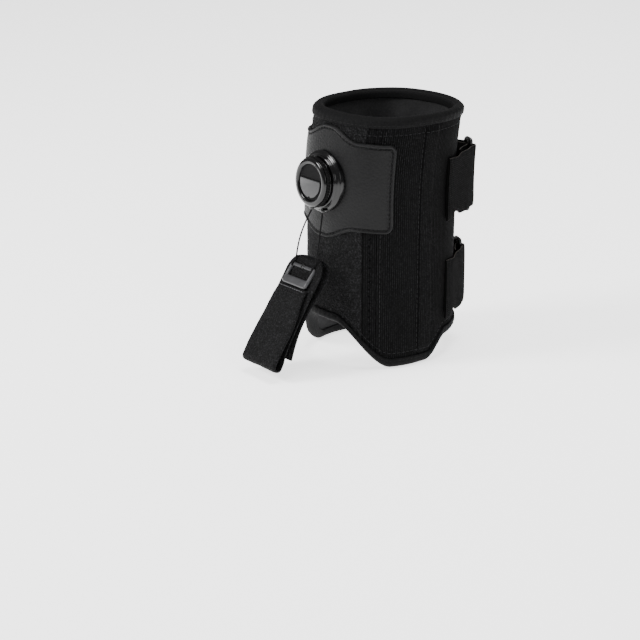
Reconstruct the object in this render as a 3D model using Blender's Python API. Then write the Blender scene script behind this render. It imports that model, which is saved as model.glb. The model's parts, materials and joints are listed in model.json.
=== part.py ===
"""Drop-foot brace: padded ankle cuff, cord-winding dial, two cords, hook buckle and lace strap.

Front (dial side) faces -Y, the outer side of the left ankle faces +X, +Z is up.
Lengths below are in millimetres and angles in degrees; mesh points are written in metres.
"""

import math

import bmesh
import bpy
from mathutils import Matrix, Vector

MM = 0.001
GAP = 0.3

# Cuff section: a rounded oval that leans back and widens above FLARE_Z.
SECTION_POWER = 2.4
HALF_WIDE = 45.3
HALF_DEEP = 50.0
FLARE_Z = 112.0
FLARE_HEIGHT = 65.0
FLARE_WIDE = 1.7
FLARE_DEEP = -2.0
FLARE_BACK = 7.0
RIM_Z = 174.5
LINER_THICK = 3.7
SHELL_THICK = 1.5
LEATHER_THICK = 1.5
BINDING_THICK = 0.8
BINDING_WIDE = 5.5
EDGE_GAP = 0.65
SKIRT = BINDING_THICK + EDGE_GAP

# Angles round the cuff, from the front towards the outer side.
FRONT_SEAM = 36.0
SIDE_SEAM = 47.0
HEEL_SEAM = 166.0
LEATHER_EDGE = 60.0
STAY_ANGLE = 91.5
STAY_HALF = 5.0
STAY_THICK = 1.4
EDGE_FADE = (8.0, 15.0)
ANGLE_STEP = 4.0

# Dial: its axis leaves the leather at DIAL_Z and tips up a little.
DIAL_Z = 128.0
DIAL_TILT = 4.0
BASE_RADIUS = 21.0
WALL_RADIUS = 18.2
DRUM_RADIUS = 6.0
CORD_RADIUS = 0.55
PORT_X = 6.0

# Hook buckle and lace strap.
BUCKLE_WIDE = 26.0
BUCKLE_TOP = (-67.6, 70.0)
BUCKLE_BOTTOM = (-74.6, 61.5)
STRAP_WIDE = 34.0
STRAP_THICK = 2.0
FOLD_POINT = (-107.0, 8.0)

# Closure straps at the rear: bar centre of each ring, and the heights they cover.
CLOSURES = (
    ("upper", (22.0, 61.0), 96.5, 141.0),
    ("lower", (20.0, 56.0), 26.5, 69.5),
)
TAB_SEAM = 117.0
WEB_THICK = 2.0
RING_WIRE = 1.5
FLAP_STAND = 5.0

# Centre in plan of the whole brace's box, moved to the origin.
BOX_CENTRE = (-1.431, -18.849)

COLLECTION = bpy.context.scene.collection


def clear_scene():
    for old in list(bpy.data.objects):
        bpy.data.objects.remove(old, do_unlink=True)


# ---------------------------------------------------------------- materials

FINISHES = {
    "knit": ((0.018, 0.018, 0.020, 1.0), 0.95, 0.0),
    "pile": ((0.022, 0.022, 0.024, 1.0), 1.0, 0.0),
    "lining": ((0.030, 0.030, 0.032, 1.0), 1.0, 0.0),
    "binding": ((0.015, 0.015, 0.016, 1.0), 0.8, 0.0),
    "leather": ((0.040, 0.041, 0.044, 1.0), 0.45, 0.0),
    "plastic": ((0.012, 0.012, 0.013, 1.0), 0.25, 0.0),
    "grip": ((0.020, 0.020, 0.021, 1.0), 0.7, 0.0),
    "steel": ((0.45, 0.45, 0.47, 1.0), 0.3, 1.0),
    "cord": ((0.020, 0.020, 0.022, 1.0), 0.6, 0.0),
    "webbing": ((0.020, 0.020, 0.022, 1.0), 0.95, 0.0),
    "hook_tape": ((0.030, 0.030, 0.030, 1.0), 0.7, 0.0),
}


def material_for(node, finish):
    color, roughness, metallic = FINISHES[finish]
    material = bpy.data.materials.new(node)
    material.use_nodes = True
    shader = material.node_tree.nodes["Principled BSDF"]
    shader.inputs["Base Color"].default_value = color
    shader.inputs["Roughness"].default_value = roughness
    shader.inputs["Metallic"].default_value = metallic
    return material


# ---------------------------------------------------------------- mesh helpers


def object_from(name, bm, finish, parent):
    """Write the bmesh, which is in millimetres, as a node."""
    bmesh.ops.recalc_face_normals(bm, faces=bm.faces)
    bmesh.ops.scale(bm, vec=(MM, MM, MM), verts=bm.verts)
    mesh = bpy.data.meshes.new(name)
    bm.to_mesh(mesh)
    bm.free()
    mesh.shade_smooth()
    mesh.set_sharp_from_angle(angle=math.radians(35))
    obj = bpy.data.objects.new(name, mesh)
    COLLECTION.objects.link(obj)
    if finish is None:
        obj.hide_render = True
        obj.display_type = "WIRE"
    else:
        mesh.materials.append(material_for(name, finish))
    obj.parent = parent
    return obj


def loops_to_solid(loops, ring):
    """Skin equal loops of points. A ring joins its last loop to its first; else each end is capped
    by quads between the loop's first half and its second half, which runs back beside it."""
    bm = bmesh.new()
    rows = [[bm.verts.new(point) for point in loop] for loop in loops]
    count = len(rows[0])
    for index in range(len(rows) if ring else len(rows) - 1):
        here = rows[index]
        after = rows[(index + 1) % len(rows)]
        for k in range(count):
            bm.faces.new((here[k], here[(k + 1) % count], after[(k + 1) % count], after[k]))
    for row in [] if ring else [rows[0], rows[-1]]:
        for k in range(count // 2 - 1):
            bm.faces.new((row[k], row[k + 1], row[count - 2 - k], row[count - 1 - k]))
    return bm


def cut(obj, cutter):
    modifier = obj.modifiers.new("cut", "BOOLEAN")
    modifier.operation = "DIFFERENCE"
    modifier.solver = "EXACT"
    modifier.object = cutter


def smooth_step(value, low, high):
    t = min(max((value - low) / (high - low), 0.0), 1.0)
    return t * t * (3.0 - 2.0 * t)


# ---------------------------------------------------------------- cuff surface


def section_at(z):
    """Half width, half depth and centre shift of the cuff's outer surface at height z."""
    flare = (max(0.0, z - FLARE_Z) / FLARE_HEIGHT) ** 2
    return HALF_WIDE + FLARE_WIDE * flare, HALF_DEEP + FLARE_DEEP * flare, FLARE_BACK * flare


def cuff_point(angle, z, offset):
    """A point on the cuff's outer surface, moved out by offset."""
    half_wide, half_deep, shift = section_at(z)
    turn = math.radians(angle)
    across = abs(math.sin(turn) / (half_wide + offset)) ** SECTION_POWER
    along = abs(math.cos(turn) / (half_deep + offset)) ** SECTION_POWER
    radius = (across + along) ** (-1.0 / SECTION_POWER)
    return Vector((radius * math.sin(turn), shift - radius * math.cos(turn), z))


def lower_edge(angle):
    """Height of the cuff's lower edge: an arch over the instep, two side lobes, a raised heel."""
    turn = abs((angle + 180.0) % 360.0 - 180.0)
    front = 30.0 * (1.0 - smooth_step(turn, 12.0, 60.0))
    back = 14.0 * smooth_step(turn, 96.0, 118.0) + 5.0 * smooth_step(turn, 118.0, 165.0)
    return front + back + SKIRT


def upper_edge(_angle):
    """Height of the cuff's upper edge, level all round."""
    return RIM_Z - SKIRT


def stay_bulge(angle, z):
    """How far the side panel stands out over the stay, which ends short of both edges."""
    turn = abs((angle + 180.0) % 360.0 - 180.0)
    across = 1.0 - smooth_step(abs(turn - STAY_ANGLE), STAY_HALF + 0.5, STAY_HALF + 4.5)
    along = smooth_step(z - lower_edge(angle), *EDGE_FADE) * smooth_step(upper_edge(angle) - z, *EDGE_FADE)
    return (STAY_THICK + GAP) * across * along


def angles_between(start, end, step=ANGLE_STEP):
    count = max(2, round((end - start) / step))
    return [start + (end - start) * k / count for k in range(count + 1)]


def levels_between(bottom, top, rows=4):
    """Heights for mesh rows: none are needed where the cuff is straight, rows of them in the flare."""
    return [bottom] + [FLARE_Z + (top - FLARE_Z) * k / rows for k in range(rows + 1)]


def shell(name, angles, low, high, inner, outer, finish, parent, bulge=None, ring=False):
    """A curved layer of the cuff between two offsets, from edge height low(angle) to high(angle)."""
    loops = []
    for angle in angles:
        bottom = low(angle)
        top = high(angle)
        if bulge:
            near, full = EDGE_FADE
            levels = [bottom, bottom + near]
            levels += levels_between(bottom + full, top - full) + [top - near, top]
        else:
            levels = levels_between(bottom, top)
        swell = [bulge(angle, z) if bulge else 0.0 for z in levels]
        outside = [cuff_point(angle, z, outer + s) for z, s in zip(levels, swell)]
        inside = [cuff_point(angle, z, inner + s) for z, s in zip(levels, swell)]
        loops.append(outside + inside[::-1])
    return object_from(name, loops_to_solid(loops, ring), finish, parent)


def edge_tape(name, edge, sign, finish, parent):
    """A U-shaped binding tape folded over the cuff's upper (sign 1) or lower (sign -1) edge."""
    out = BINDING_THICK
    depth = SHELL_THICK + GAP + LINER_THICK
    profile = (
        (GAP, -BINDING_WIDE),
        (GAP + out, -BINDING_WIDE),
        (GAP + out, SKIRT),
        (-depth - GAP - out, SKIRT),
        (-depth - GAP - out, -BINDING_WIDE),
        (-depth - GAP, -BINDING_WIDE),
        (-depth - GAP, EDGE_GAP),
        (GAP, EDGE_GAP),
    )
    loops = []
    for angle in angles_between(-180.0, 180.0)[:-1]:
        height = edge(angle)
        loops.append([cuff_point(angle, height + sign * rise, offset) for offset, rise in profile])
    return object_from(name, loops_to_solid(loops, True), finish, parent)


def make_cuff(parent):
    full = angles_between(-180.0, 180.0, 6.0)[:-1]
    inside = -SHELL_THICK - GAP
    shell("padded_liner", full, lower_edge, upper_edge, inside - LINER_THICK, inside, "lining", parent,
          ring=True)
    shell("front_panel", angles_between(-FRONT_SEAM, FRONT_SEAM), lower_edge, upper_edge,
          -SHELL_THICK, 0.0, "pile", parent)
    shell("heel_panel", angles_between(HEEL_SEAM, 360.0 - HEEL_SEAM), lower_edge, upper_edge,
          -SHELL_THICK, 0.0, "knit", parent)
    seam = 0.4
    for side, sign in (("left", 1.0), ("right", -1.0)):
        strip = sorted((sign * (FRONT_SEAM + seam), sign * SIDE_SEAM))
        shell("mesh_strip_" + side, angles_between(*strip, 3.5), lower_edge, upper_edge,
              -SHELL_THICK, 0.0, "knit", parent)
        panel = sorted((sign * (SIDE_SEAM + seam), sign * (HEEL_SEAM - seam)))
        shell("side_panel_" + side, angles_between(*panel), lower_edge, upper_edge,
              -SHELL_THICK, 0.0, "knit", parent, bulge=stay_bulge)
        stay = sorted((sign * (STAY_ANGLE - STAY_HALF), sign * (STAY_ANGLE + STAY_HALF)))
        shell("stay_" + side, angles_between(*stay, 2.5), lambda angle: 19.0, lambda angle: 157.0,
              -SHELL_THICK + 0.05, -SHELL_THICK + 0.05 + STAY_THICK - 0.05, "steel", parent)


# ---------------------------------------------------------------- leather patch

CORNER_TURN = 6.0
CORNER_DROP = 6.0


def corner(angle):
    """Height lost near the patch's upright edges, a quarter ellipse."""
    into = abs(angle) - (LEATHER_EDGE - CORNER_TURN)
    if into <= 0.0:
        return 0.0
    t = min(into / CORNER_TURN, 1.0)
    return CORNER_DROP * (1.0 - math.sqrt(max(0.0, 1.0 - t * t)))


def patch_top(angle):
    dip = 8.5 * smooth_step(abs(angle), 3.0, 30.0) + 1.0 * smooth_step(abs(angle), 30.0, 54.0)
    return 166.0 - dip - corner(angle)


def patch_bottom(angle):
    lift = 7.5 * smooth_step(abs(angle), 4.0, 30.0) - 1.0 * smooth_step(abs(angle), 34.0, 54.0)
    return 89.5 + lift + corner(angle)


def make_leather(parent):
    body = angles_between(-LEATHER_EDGE + CORNER_TURN, LEATHER_EDGE - CORNER_TURN)
    rise = [CORNER_TURN * math.sin(math.radians(a)) for a in (25.0, 45.0, 65.0, 90.0)]
    ends = [LEATHER_EDGE - CORNER_TURN + r for r in rise]
    angles = [-e for e in reversed(ends)] + body + ends
    shell("leather_patch", angles, patch_bottom, patch_top, GAP, GAP + LEATHER_THICK,
          "leather", parent)


# ---------------------------------------------------------------- turned pieces of the dial


def turned(name, profile, segments, finish, parent):
    """Turn a closed (radius, height) outline about local Z."""
    loops = []
    for k in range(segments):
        turn = 2.0 * math.pi * k / segments
        loops.append([(r * math.cos(turn), r * math.sin(turn), h) for r, h in profile])
    bm = loops_to_solid(loops, True)
    bmesh.ops.remove_doubles(bm, verts=bm.verts, dist=0.0005)
    bmesh.ops.dissolve_degenerate(bm, dist=0.0001, edges=bm.edges)
    return object_from(name, bm, finish, parent)


def toothed(name, inner, outer, low, high, teeth, depth, outward, finish, parent):
    """A flat ring with saw teeth on its outer or its inner edge."""
    loops = []
    for k in range(teeth * 2):
        turn = math.pi * k / teeth
        tip = depth if k % 2 else 0.0
        near = inner + (0.0 if outward else tip)
        far = outer - (tip if outward else 0.0)
        c, s = math.cos(turn), math.sin(turn)
        loops.append([(near * c, near * s, low), (far * c, far * s, low),
                      (far * c, far * s, high), (near * c, near * s, high)])
    return object_from(name, loops_to_solid(loops, True), finish, parent)


def box_mesh(size, centre):
    bm = bmesh.new()
    bmesh.ops.create_cube(bm, size=1.0)
    bmesh.ops.scale(bm, vec=size, verts=bm.verts)
    bmesh.ops.translate(bm, vec=centre, verts=bm.verts)
    return bm


def make_dial(dial, root):
    base = turned("dial_base", (
        (0.0, -9.0), (BASE_RADIUS, -9.0), (BASE_RADIUS, 0.9), (BASE_RADIUS - 0.8, 1.5),
        (WALL_RADIUS + 0.4, 2.0), (WALL_RADIUS, 2.6), (WALL_RADIUS, 4.2), (WALL_RADIUS - 0.4, 4.6),
        (15.2, 4.6), (15.2, 1.5), (0.0, 1.5)), 40, "plastic", dial)
    envelope_loops = []
    for angle in angles_between(-75.0, 75.0):
        levels = levels_between(80.0, 164.0)
        outside = [cuff_point(angle, z, GAP * 2 + LEATHER_THICK) for z in levels]
        envelope_loops.append(outside + [cuff_point(angle, z, -25.0) for z in levels[::-1]])
    envelope = object_from("envelope_cutter", loops_to_solid(envelope_loops, False), None, root)
    cut(base, envelope)
    for side, x in (("left", PORT_X), ("right", -PORT_X)):
        port = object_from("port_cutter_" + side, box_mesh((2.6, 12.0, 1.8), (x, -17.0, 3.1)), None, dial)
        cut(base, port)
        block = box_mesh((5.0, 2.2, 2.2), (x, -19.3, 3.3))
        guide = object_from("cord_guide_" + side, block, "plastic", dial)
        hole = object_from("guide_cutter_" + side, box_mesh((1.6, 8.0, 1.4), (x, -19.3, 3.3)), None, dial)
        cut(guide, hole)
        bevel = guide.modifiers.new("soft", "BEVEL")
        bevel.width = 0.35 * MM
        bevel.segments = 1
    toothed("tooth_ring", 13.9, 14.9, 4.0, 5.4, 20, 0.5, False, "grip", dial)
    turned("spindle", ((0.0, 1.8), (3.4, 1.8), (3.4, 2.2), (2.2, 2.4), (2.2, 7.9), (0.0, 7.9)),
           20, "steel", dial)
    turned("spool", ((2.5, 2.5), (11.0, 2.5), (11.0, 2.8), (DRUM_RADIUS, 2.8), (DRUM_RADIUS, 3.6),
                     (11.0, 3.6), (11.0, 4.0), (2.5, 4.0)), 32, "plastic", dial)
    turned("wound_cord", ((DRUM_RADIUS + 0.2, 2.95), (9.6, 2.95), (9.6, 3.45), (DRUM_RADIUS + 0.2, 3.45)),
           32, "cord", dial)
    turned("lift_collar", ((2.5, 6.1), (4.2, 6.1), (4.2, 6.9), (2.5, 6.9)), 20, "steel", dial)
    toothed("pawl_disc", 2.6, 13.5, 4.4, 5.3, 15, 1.0, True, "steel", dial)
    turned("knob_shell", (
        (0.0, 8.5), (15.3, 8.5), (15.3, 5.0), (16.0, 5.0), (16.0, 6.1), (15.8, 6.3), (15.8, 9.2),
        (16.4, 9.4), (16.6, 9.9), (16.1, 10.7), (13.6, 11.3), (12.6, 10.9), (12.2, 9.9), (0.0, 9.9)),
        40, "plastic", dial)
    toothed("knob_grip", 16.1, 17.3, 6.4, 9.1, 26, 0.35, True, "grip", dial)
    badge = turned("knob_badge", ((0.0, 10.2), (10.6, 10.2), (10.6, 10.7), (10.1, 10.9), (0.0, 10.9)),
                   32, "plastic", dial)
    window = object_from("badge_cutter", box_mesh((30.0, 20.0, 6.0), (0.0, 12.0, 10.5)), None, dial)
    cut(badge, window)


# ---------------------------------------------------------------- straps and hardware


def smooth_path(points, per_span=4):
    """Catmull-Rom points through the given plane points."""
    ends = [points[0]] + list(points) + [points[-1]]
    result = []
    for a, b, c, d in zip(ends, ends[1:], ends[2:], ends[3:]):
        for k in range(per_span):
            t = k / per_span
            result.append(tuple(
                0.5 * (2 * q + (r - p) * t + (2 * p - 5 * q + 4 * r - s) * t * t
                       + (3 * q - p - 3 * r + s) * t ** 3)
                for p, q, r, s in zip(a, b, c, d)))
    result.append(tuple(points[-1]))
    return result


def ribbon_outline(path, thick):
    """Closed outline of a band of even thickness along a plane path."""
    left = []
    right = []
    for k, point in enumerate(path):
        before = path[max(k - 1, 0)]
        after = path[min(k + 1, len(path) - 1)]
        run = Vector((after[0] - before[0], after[1] - before[1])).normalized()
        side = Vector((-run.y, run.x)) * thick / 2.0
        left.append((point[0] + side.x, point[1] + side.y))
        right.append((point[0] - side.x, point[1] - side.y))
    return left, right


def ribbon(name, path, thick, place, finish, parent):
    """A band along a plane path; place(point, end) puts an outline point at either width end."""
    left, right = ribbon_outline(path, thick)
    loops = [[place(a, 0), place(a, 1), place(b, 1), place(b, 0)] for a, b in zip(left, right)]
    return object_from(name, loops_to_solid(loops, False), finish, parent)


def arc_points(centre, radius, start, end, count):
    turns = [math.radians(start + (end - start) * k / count) for k in range(count + 1)]
    return [(centre[0] + radius * math.cos(t), centre[1] + radius * math.sin(t)) for t in turns]


def make_buckle(hook):
    """A rectangular frame whose upper bar takes the cords and whose lower bar takes the strap."""
    top = Vector((0.0,) + BUCKLE_TOP)
    bottom = Vector((0.0,) + BUCKLE_BOTTOM)
    down = (bottom - top).normalized()
    out = Vector((1.0, 0.0, 0.0)).cross(down).normalized()
    if out.y > 0.0:
        out = -out
    frame = Matrix.Translation(top * MM) @ Matrix((
        (1.0, down.x, out.x, 0.0), (0.0, down.y, out.y, 0.0), (0.0, down.z, out.z, 0.0),
        (0.0, 0.0, 0.0, 1.0)))
    length = (bottom - top).length
    bm = box_mesh((BUCKLE_WIDE, length + 4.6, 2.4), (0.0, length / 2.0 + 0.6, 0.0))
    for vert in bm.verts:
        if vert.co.y < 0.0:
            vert.co.x *= 1.02
    bmesh.ops.bevel(bm, geom=list(bm.edges), offset=0.7, segments=2, affect="EDGES", profile=0.6)
    buckle = object_from("hook_buckle", bm, "plastic", hook)
    buckle.matrix_parent_inverse.identity()
    buckle.matrix_local = frame
    window = object_from("buckle_window", box_mesh((BUCKLE_WIDE - 6.0, length - 3.4, 8.0),
                                                   (0.0, length / 2.0 - 0.4, 0.0)), None, hook)
    window.matrix_local = frame
    cut(buckle, window)
    return down


def make_lace_strap(hook):
    """One band: sewn to the lower bar, down to the fold, up behind the buckle, over and down."""
    start = Vector((0.0,) + BUCKLE_BOTTOM)
    fold = Vector((0.0,) + FOLD_POINT)
    along = (fold - start).normalized()
    face = Vector((0.0, along.z, -along.y))
    reach = (fold - start).length
    loop_top = -(Vector(BUCKLE_BOTTOM) - Vector(BUCKLE_TOP)).length - 7.5
    route = smooth_path((
        (3.8, -0.6), (14.0, 0.4), (30.0, 0.2), (46.0, 0.6), (reach - 6.0, 0.6)))
    route = route[:-1] + [
        (reach - 4.6 + 2.9 * math.sin(t), -2.3 + 2.9 * math.cos(t))
        for t in (math.pi * k / 8 for k in range(9))]
    route += smooth_path((
        (reach - 9.0, -4.9), (46.0, -3.6), (28.0, -2.9), (12.0, -3.2), (0.0, -4.4), (loop_top + 9.0, -4.6),
        (loop_top + 4.0, -4.5)))
    route += [
        (loop_top + 1.6 - 2.6 * math.sin(t), -7.1 + 2.6 * math.cos(t))
        for t in (math.pi * k / 8 for k in range(9))]
    route += smooth_path((
        (loop_top + 7.0, -9.8), (0.0, -8.8), (14.0, -7.2), (28.0, -7.0), (40.0, -8.6), (50.0, -10.6)))

    def place(point, end):
        x = STRAP_WIDE * (end - 0.5)
        return start + along * point[0] + face * point[1] + Vector((x, 0.0, 0.0))

    ribbon("lace_strap", route, STRAP_THICK, place, "webbing", hook)


def make_cords(cords, exits, down):
    top = Vector((0.0,) + BUCKLE_TOP)
    for side, sign in (("left", 1.0), ("right", -1.0)):
        begin = exits[side]
        end = top + Vector((sign * 10.6, 0.0, 0.0)) - down * 2.7
        bow = Vector((sign * 0.7, -0.6, 0.0))
        middle = [begin.lerp(end, t) + bow * math.sin(math.pi * t) for t in (0.0, 0.25, 0.5, 0.75, 1.0)]
        points = smooth_path([tuple(p) for p in middle], 3)
        curve = bpy.data.curves.new("cord_" + side, "CURVE")
        curve.dimensions = "3D"
        curve.bevel_depth = CORD_RADIUS * MM
        curve.bevel_resolution = 2
        curve.use_fill_caps = True
        spline = curve.splines.new("POLY")
        spline.points.add(len(points) - 1)
        for target, point in zip(spline.points, points):
            target.co = (point[0] * MM, point[1] * MM, point[2] * MM, 1.0)
        cord = bpy.data.objects.new("cord_" + side, curve)
        curve.materials.append(material_for("cord_" + side, "cord"))
        COLLECTION.objects.link(cord)
        cord.parent = cords


def surface_run(start, end, offset, z, count=6):
    points = [cuff_point(start + (end - start) * k / count, z, offset) for k in range(count + 1)]
    return [(p.x, p.y) for p in points]


def touch_angle(point, offset, z):
    """Angle on the inner side where a straight line from a point behind the cuff touches it."""
    def slope(angle):
        touched = cuff_point(angle, z, offset)
        return (touched.y - point[1]) / (point[0] - touched.x)
    return max(range(-178, -120), key=slope)


def make_closure(level, bar, low, high, root):
    """Tab, ring, closure strap and its peelable end, all upright bands at one height."""
    middle = (low + high) / 2.0
    half = WEB_THICK / 2.0
    loop_radius = RING_WIRE + 0.45 + half
    second = (bar[0] - 8.0, bar[1] + 2.6)

    def leaned(x, y, z):
        return Vector((x, y + section_at(z)[2] - section_at(middle)[2], z))

    def place(point, end):
        return leaned(point[0], point[1], high - 0.6 if end else low + 0.6)

    rest = GAP + half + 0.35
    tab = surface_run(TAB_SEAM - 1.0, TAB_SEAM + 9.0, rest, middle, 3)
    tab += arc_points(bar, loop_radius, 33.0, 228.0, 12)
    last = cuff_point(TAB_SEAM + 24.0, middle, rest + 3.0)
    tab += [((tab[-1][0] * 2 + last.x) / 3.0, (tab[-1][1] * 2 + last.y) / 3.0 - 1.0), (last.x, last.y)]
    ribbon("tab_" + level, tab, WEB_THICK, place, "webbing", root)

    curve = bpy.data.curves.new("ring_" + level, "CURVE")
    curve.dimensions = "3D"
    curve.bevel_depth = RING_WIRE * MM
    curve.bevel_resolution = 2
    spline = curve.splines.new("POLY")
    low_z, high_z = low - 2.5, high + 2.5
    lead = (Vector(second) - Vector(bar)).normalized() * 1.6
    outline = (
        (bar[0], bar[1], low_z + 1.6), (bar[0], bar[1], high_z - 1.6),
        (bar[0] + lead.x, bar[1] + lead.y, high_z), (second[0] - lead.x, second[1] - lead.y, high_z),
        (second[0], second[1], high_z - 1.6), (second[0], second[1], low_z + 1.6),
        (second[0] - lead.x, second[1] - lead.y, low_z), (bar[0] + lead.x, bar[1] + lead.y, low_z))
    spline.points.add(len(outline) - 1)
    for target, point in zip(spline.points, outline):
        target.co = (leaned(*point) * MM).to_4d()
    spline.use_cyclic_u = True
    ring = bpy.data.objects.new("ring_" + level, curve)
    curve.materials.append(material_for("ring_" + level, "plastic"))
    COLLECTION.objects.link(ring)
    ring.parent = root

    touch = touch_angle((second[0], second[1] - loop_radius), rest + GAP, middle)
    strap = surface_run(-TAB_SEAM + 10.0, touch, rest, middle, 8)
    strap += [tuple(p) for p in arc_points(second, loop_radius, 285.0, 440.0, 10)]
    ribbon("strap_" + level, strap, WEB_THICK, place, "webbing", root)

    begin = arc_points(second, loop_radius, 452.0, 460.0, 1)
    flap = [begin[0], (second[0] - 3.0, second[1] + loop_radius - 0.2)]
    flap += surface_run(touch, -TAB_SEAM + 4.0, rest + FLAP_STAND, middle, 8)
    ribbon("flap_" + level, flap, WEB_THICK, place, "webbing", root)
    tape = surface_run(-TAB_SEAM - 14.0, -TAB_SEAM + 2.0, rest + half + GAP + 0.75, middle, 5)
    ribbon("hook_tape_" + level, tape, 0.9, place, "hook_tape", root)


def empty_at(name, parent, location):
    empty = bpy.data.objects.new(name, None)
    COLLECTION.objects.link(empty)
    empty.parent = parent
    empty.location = Vector(location) * MM
    return empty


def main():
    clear_scene()
    root = empty_at("brace", None, (-BOX_CENTRE[0], -BOX_CENTRE[1], 0.0))
    make_cuff(root)
    make_leather(root)
    edge_tape("binding_top", upper_edge, 1, "binding", root)
    edge_tape("binding_bottom", lower_edge, -1, "binding", root)

    front = cuff_point(0.0, DIAL_Z, GAP + LEATHER_THICK)
    dial = empty_at("dial_axis", root, front)
    dial.rotation_euler = (math.radians(90.0 - DIAL_TILT), 0.0, 0.0)
    make_dial(dial, root)

    cords = empty_at("cord_exits", root, (0.0, 0.0, 0.0))
    hook = empty_at("hook", root, (0.0, 0.0, 0.0))
    down = make_buckle(hook)
    make_lace_strap(hook)
    turn = Matrix.Rotation(math.radians(90.0 - DIAL_TILT), 3, "X")
    exits = {side: front + turn @ Vector((sign * PORT_X, -20.8, 3.3))
             for side, sign in (("left", 1.0), ("right", -1.0))}
    make_cords(cords, exits, down)
    for level, bar, low, high in CLOSURES:
        make_closure(level, bar, low, high, root)


main()
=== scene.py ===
"""Looks of the drop-foot brace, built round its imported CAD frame. Metres, front at -Y, +Z up."""

import json
import math

import bmesh
import bpy
import numpy as np
from mathutils import Matrix, Vector


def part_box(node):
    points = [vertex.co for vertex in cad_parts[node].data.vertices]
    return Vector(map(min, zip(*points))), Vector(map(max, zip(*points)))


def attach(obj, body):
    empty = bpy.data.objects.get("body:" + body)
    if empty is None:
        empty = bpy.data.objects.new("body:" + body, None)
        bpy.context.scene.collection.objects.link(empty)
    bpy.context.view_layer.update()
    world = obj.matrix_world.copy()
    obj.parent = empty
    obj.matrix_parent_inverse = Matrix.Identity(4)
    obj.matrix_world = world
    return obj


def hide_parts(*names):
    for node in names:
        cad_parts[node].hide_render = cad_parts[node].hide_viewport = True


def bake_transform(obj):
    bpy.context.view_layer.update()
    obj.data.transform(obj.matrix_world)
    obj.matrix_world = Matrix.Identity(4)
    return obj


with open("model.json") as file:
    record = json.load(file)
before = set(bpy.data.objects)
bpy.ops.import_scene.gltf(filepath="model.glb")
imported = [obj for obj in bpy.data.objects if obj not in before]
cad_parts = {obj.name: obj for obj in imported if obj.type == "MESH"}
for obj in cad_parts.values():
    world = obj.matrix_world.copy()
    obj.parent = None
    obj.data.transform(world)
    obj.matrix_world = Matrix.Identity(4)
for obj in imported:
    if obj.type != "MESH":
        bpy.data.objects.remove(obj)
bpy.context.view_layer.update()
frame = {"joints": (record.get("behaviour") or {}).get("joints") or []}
MM = 0.001
TAU = 2.0 * math.pi


def box_mm(node):
    low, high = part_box(node)
    return np.array(low) / MM, np.array(high) / MM


# ------------------------------------------------------------------ places read from the frame

LINER_LOW, LINER_HIGH = box_mm("padded_liner")
BIND_LOW, BIND_HIGH = box_mm("binding_bottom")
AXIS_X = (LINER_LOW[0] + LINER_HIGH[0]) / 2.0
AXIS_Y = (BIND_LOW[1] + BIND_HIGH[1]) / 2.0
RIM_Z = box_mm("binding_top")[1][2]
JOINTS = {joint["name"]: joint for joint in frame["joints"]}
DIAL_POINT = np.array(JOINTS["knob_turn"]["pos_m"]) / MM
DIAL_TILT = 4.0
CORD_PIVOT = np.array(JOINTS["cord_swing"]["pos_m"]) / MM

# ------------------------------------------------------------------ the cuff's surface, as in the CAD

SECTION_POWER = 2.4
HALF_WIDE, HALF_DEEP = 45.3, 50.0
FLARE_Z, FLARE_HEIGHT = 112.0, 65.0
FLARE_WIDE, FLARE_DEEP, FLARE_BACK = 1.7, -2.0, 7.0
LINER_THICK, SHELL_THICK, LEATHER_THICK = 3.7, 1.5, 1.5
BINDING_THICK, BINDING_WIDE, EDGE_GAP, GAP = 0.8, 5.5, 0.65, 0.3
SKIRT = BINDING_THICK + EDGE_GAP
FRONT_SEAM, SIDE_SEAM, HEEL_SEAM = 36.0, 47.0, 166.0
LEATHER_EDGE, STAY_ANGLE, STAY_HALF, STAY_RISE = 60.0, 91.5, 5.0, 1.7
TAB_SEAM = 117.0
THINNEST_LAYER = 0.3
CORNER_TURN, CORNER_DROP = 6.0, 6.0


def reach_along(points):
    """Length from a line's first point to each of its points."""
    return np.concatenate([[0.0], np.cumsum(np.linalg.norm(np.diff(points, axis=0), axis=1))])


def unit_rows(vectors):
    return vectors / np.linalg.norm(vectors, axis=1)[:, None]


def smooth_step(value, low, high):
    t = np.clip((value - low) / (high - low), 0.0, 1.0)
    return t * t * (3.0 - 2.0 * t)


def turn_of(angle):
    return np.abs((angle + 180.0) % 360.0 - 180.0)


def flare_of(z):
    return (np.maximum(0.0, z - FLARE_Z) / FLARE_HEIGHT) ** 2


def cuff(angle, z, offset):
    """Points on the cuff's outer surface moved out by offset: angles in degrees, lengths in millimetres."""
    angle, z, offset = np.broadcast_arrays(np.asarray(angle, float), z, offset)
    flare = flare_of(z)
    wide = HALF_WIDE + FLARE_WIDE * flare + offset
    deep = HALF_DEEP + FLARE_DEEP * flare + offset
    turn = np.radians(angle)
    across = np.abs(np.sin(turn) / wide) ** SECTION_POWER
    along = np.abs(np.cos(turn) / deep) ** SECTION_POWER
    radius = (across + along) ** (-1.0 / SECTION_POWER)
    return np.stack([AXIS_X + radius * np.sin(turn),
                     AXIS_Y + FLARE_BACK * flare - radius * np.cos(turn), z], axis=-1)


def lower_edge(angle):
    turn = turn_of(angle)
    front = 30.0 * (1.0 - smooth_step(turn, 12.0, 60.0))
    back = 14.0 * smooth_step(turn, 96.0, 118.0) + 5.0 * smooth_step(turn, 118.0, 165.0)
    return front + back + SKIRT


def upper_edge(angle):
    return RIM_Z - SKIRT + 0.0 * np.asarray(angle, float)


ARC_ANGLES = np.arange(-200.0, 201.0, 0.5)
_arc_points = cuff(ARC_ANGLES, 60.0, 0.0)
ARC_LENGTHS = reach_along(_arc_points)
ARC_LENGTHS -= np.interp(0.0, ARC_ANGLES, ARC_LENGTHS)


def arc_of(angle):
    """Length round the cuff from the front's middle line."""
    return np.interp(angle, ARC_ANGLES, ARC_LENGTHS)


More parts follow.
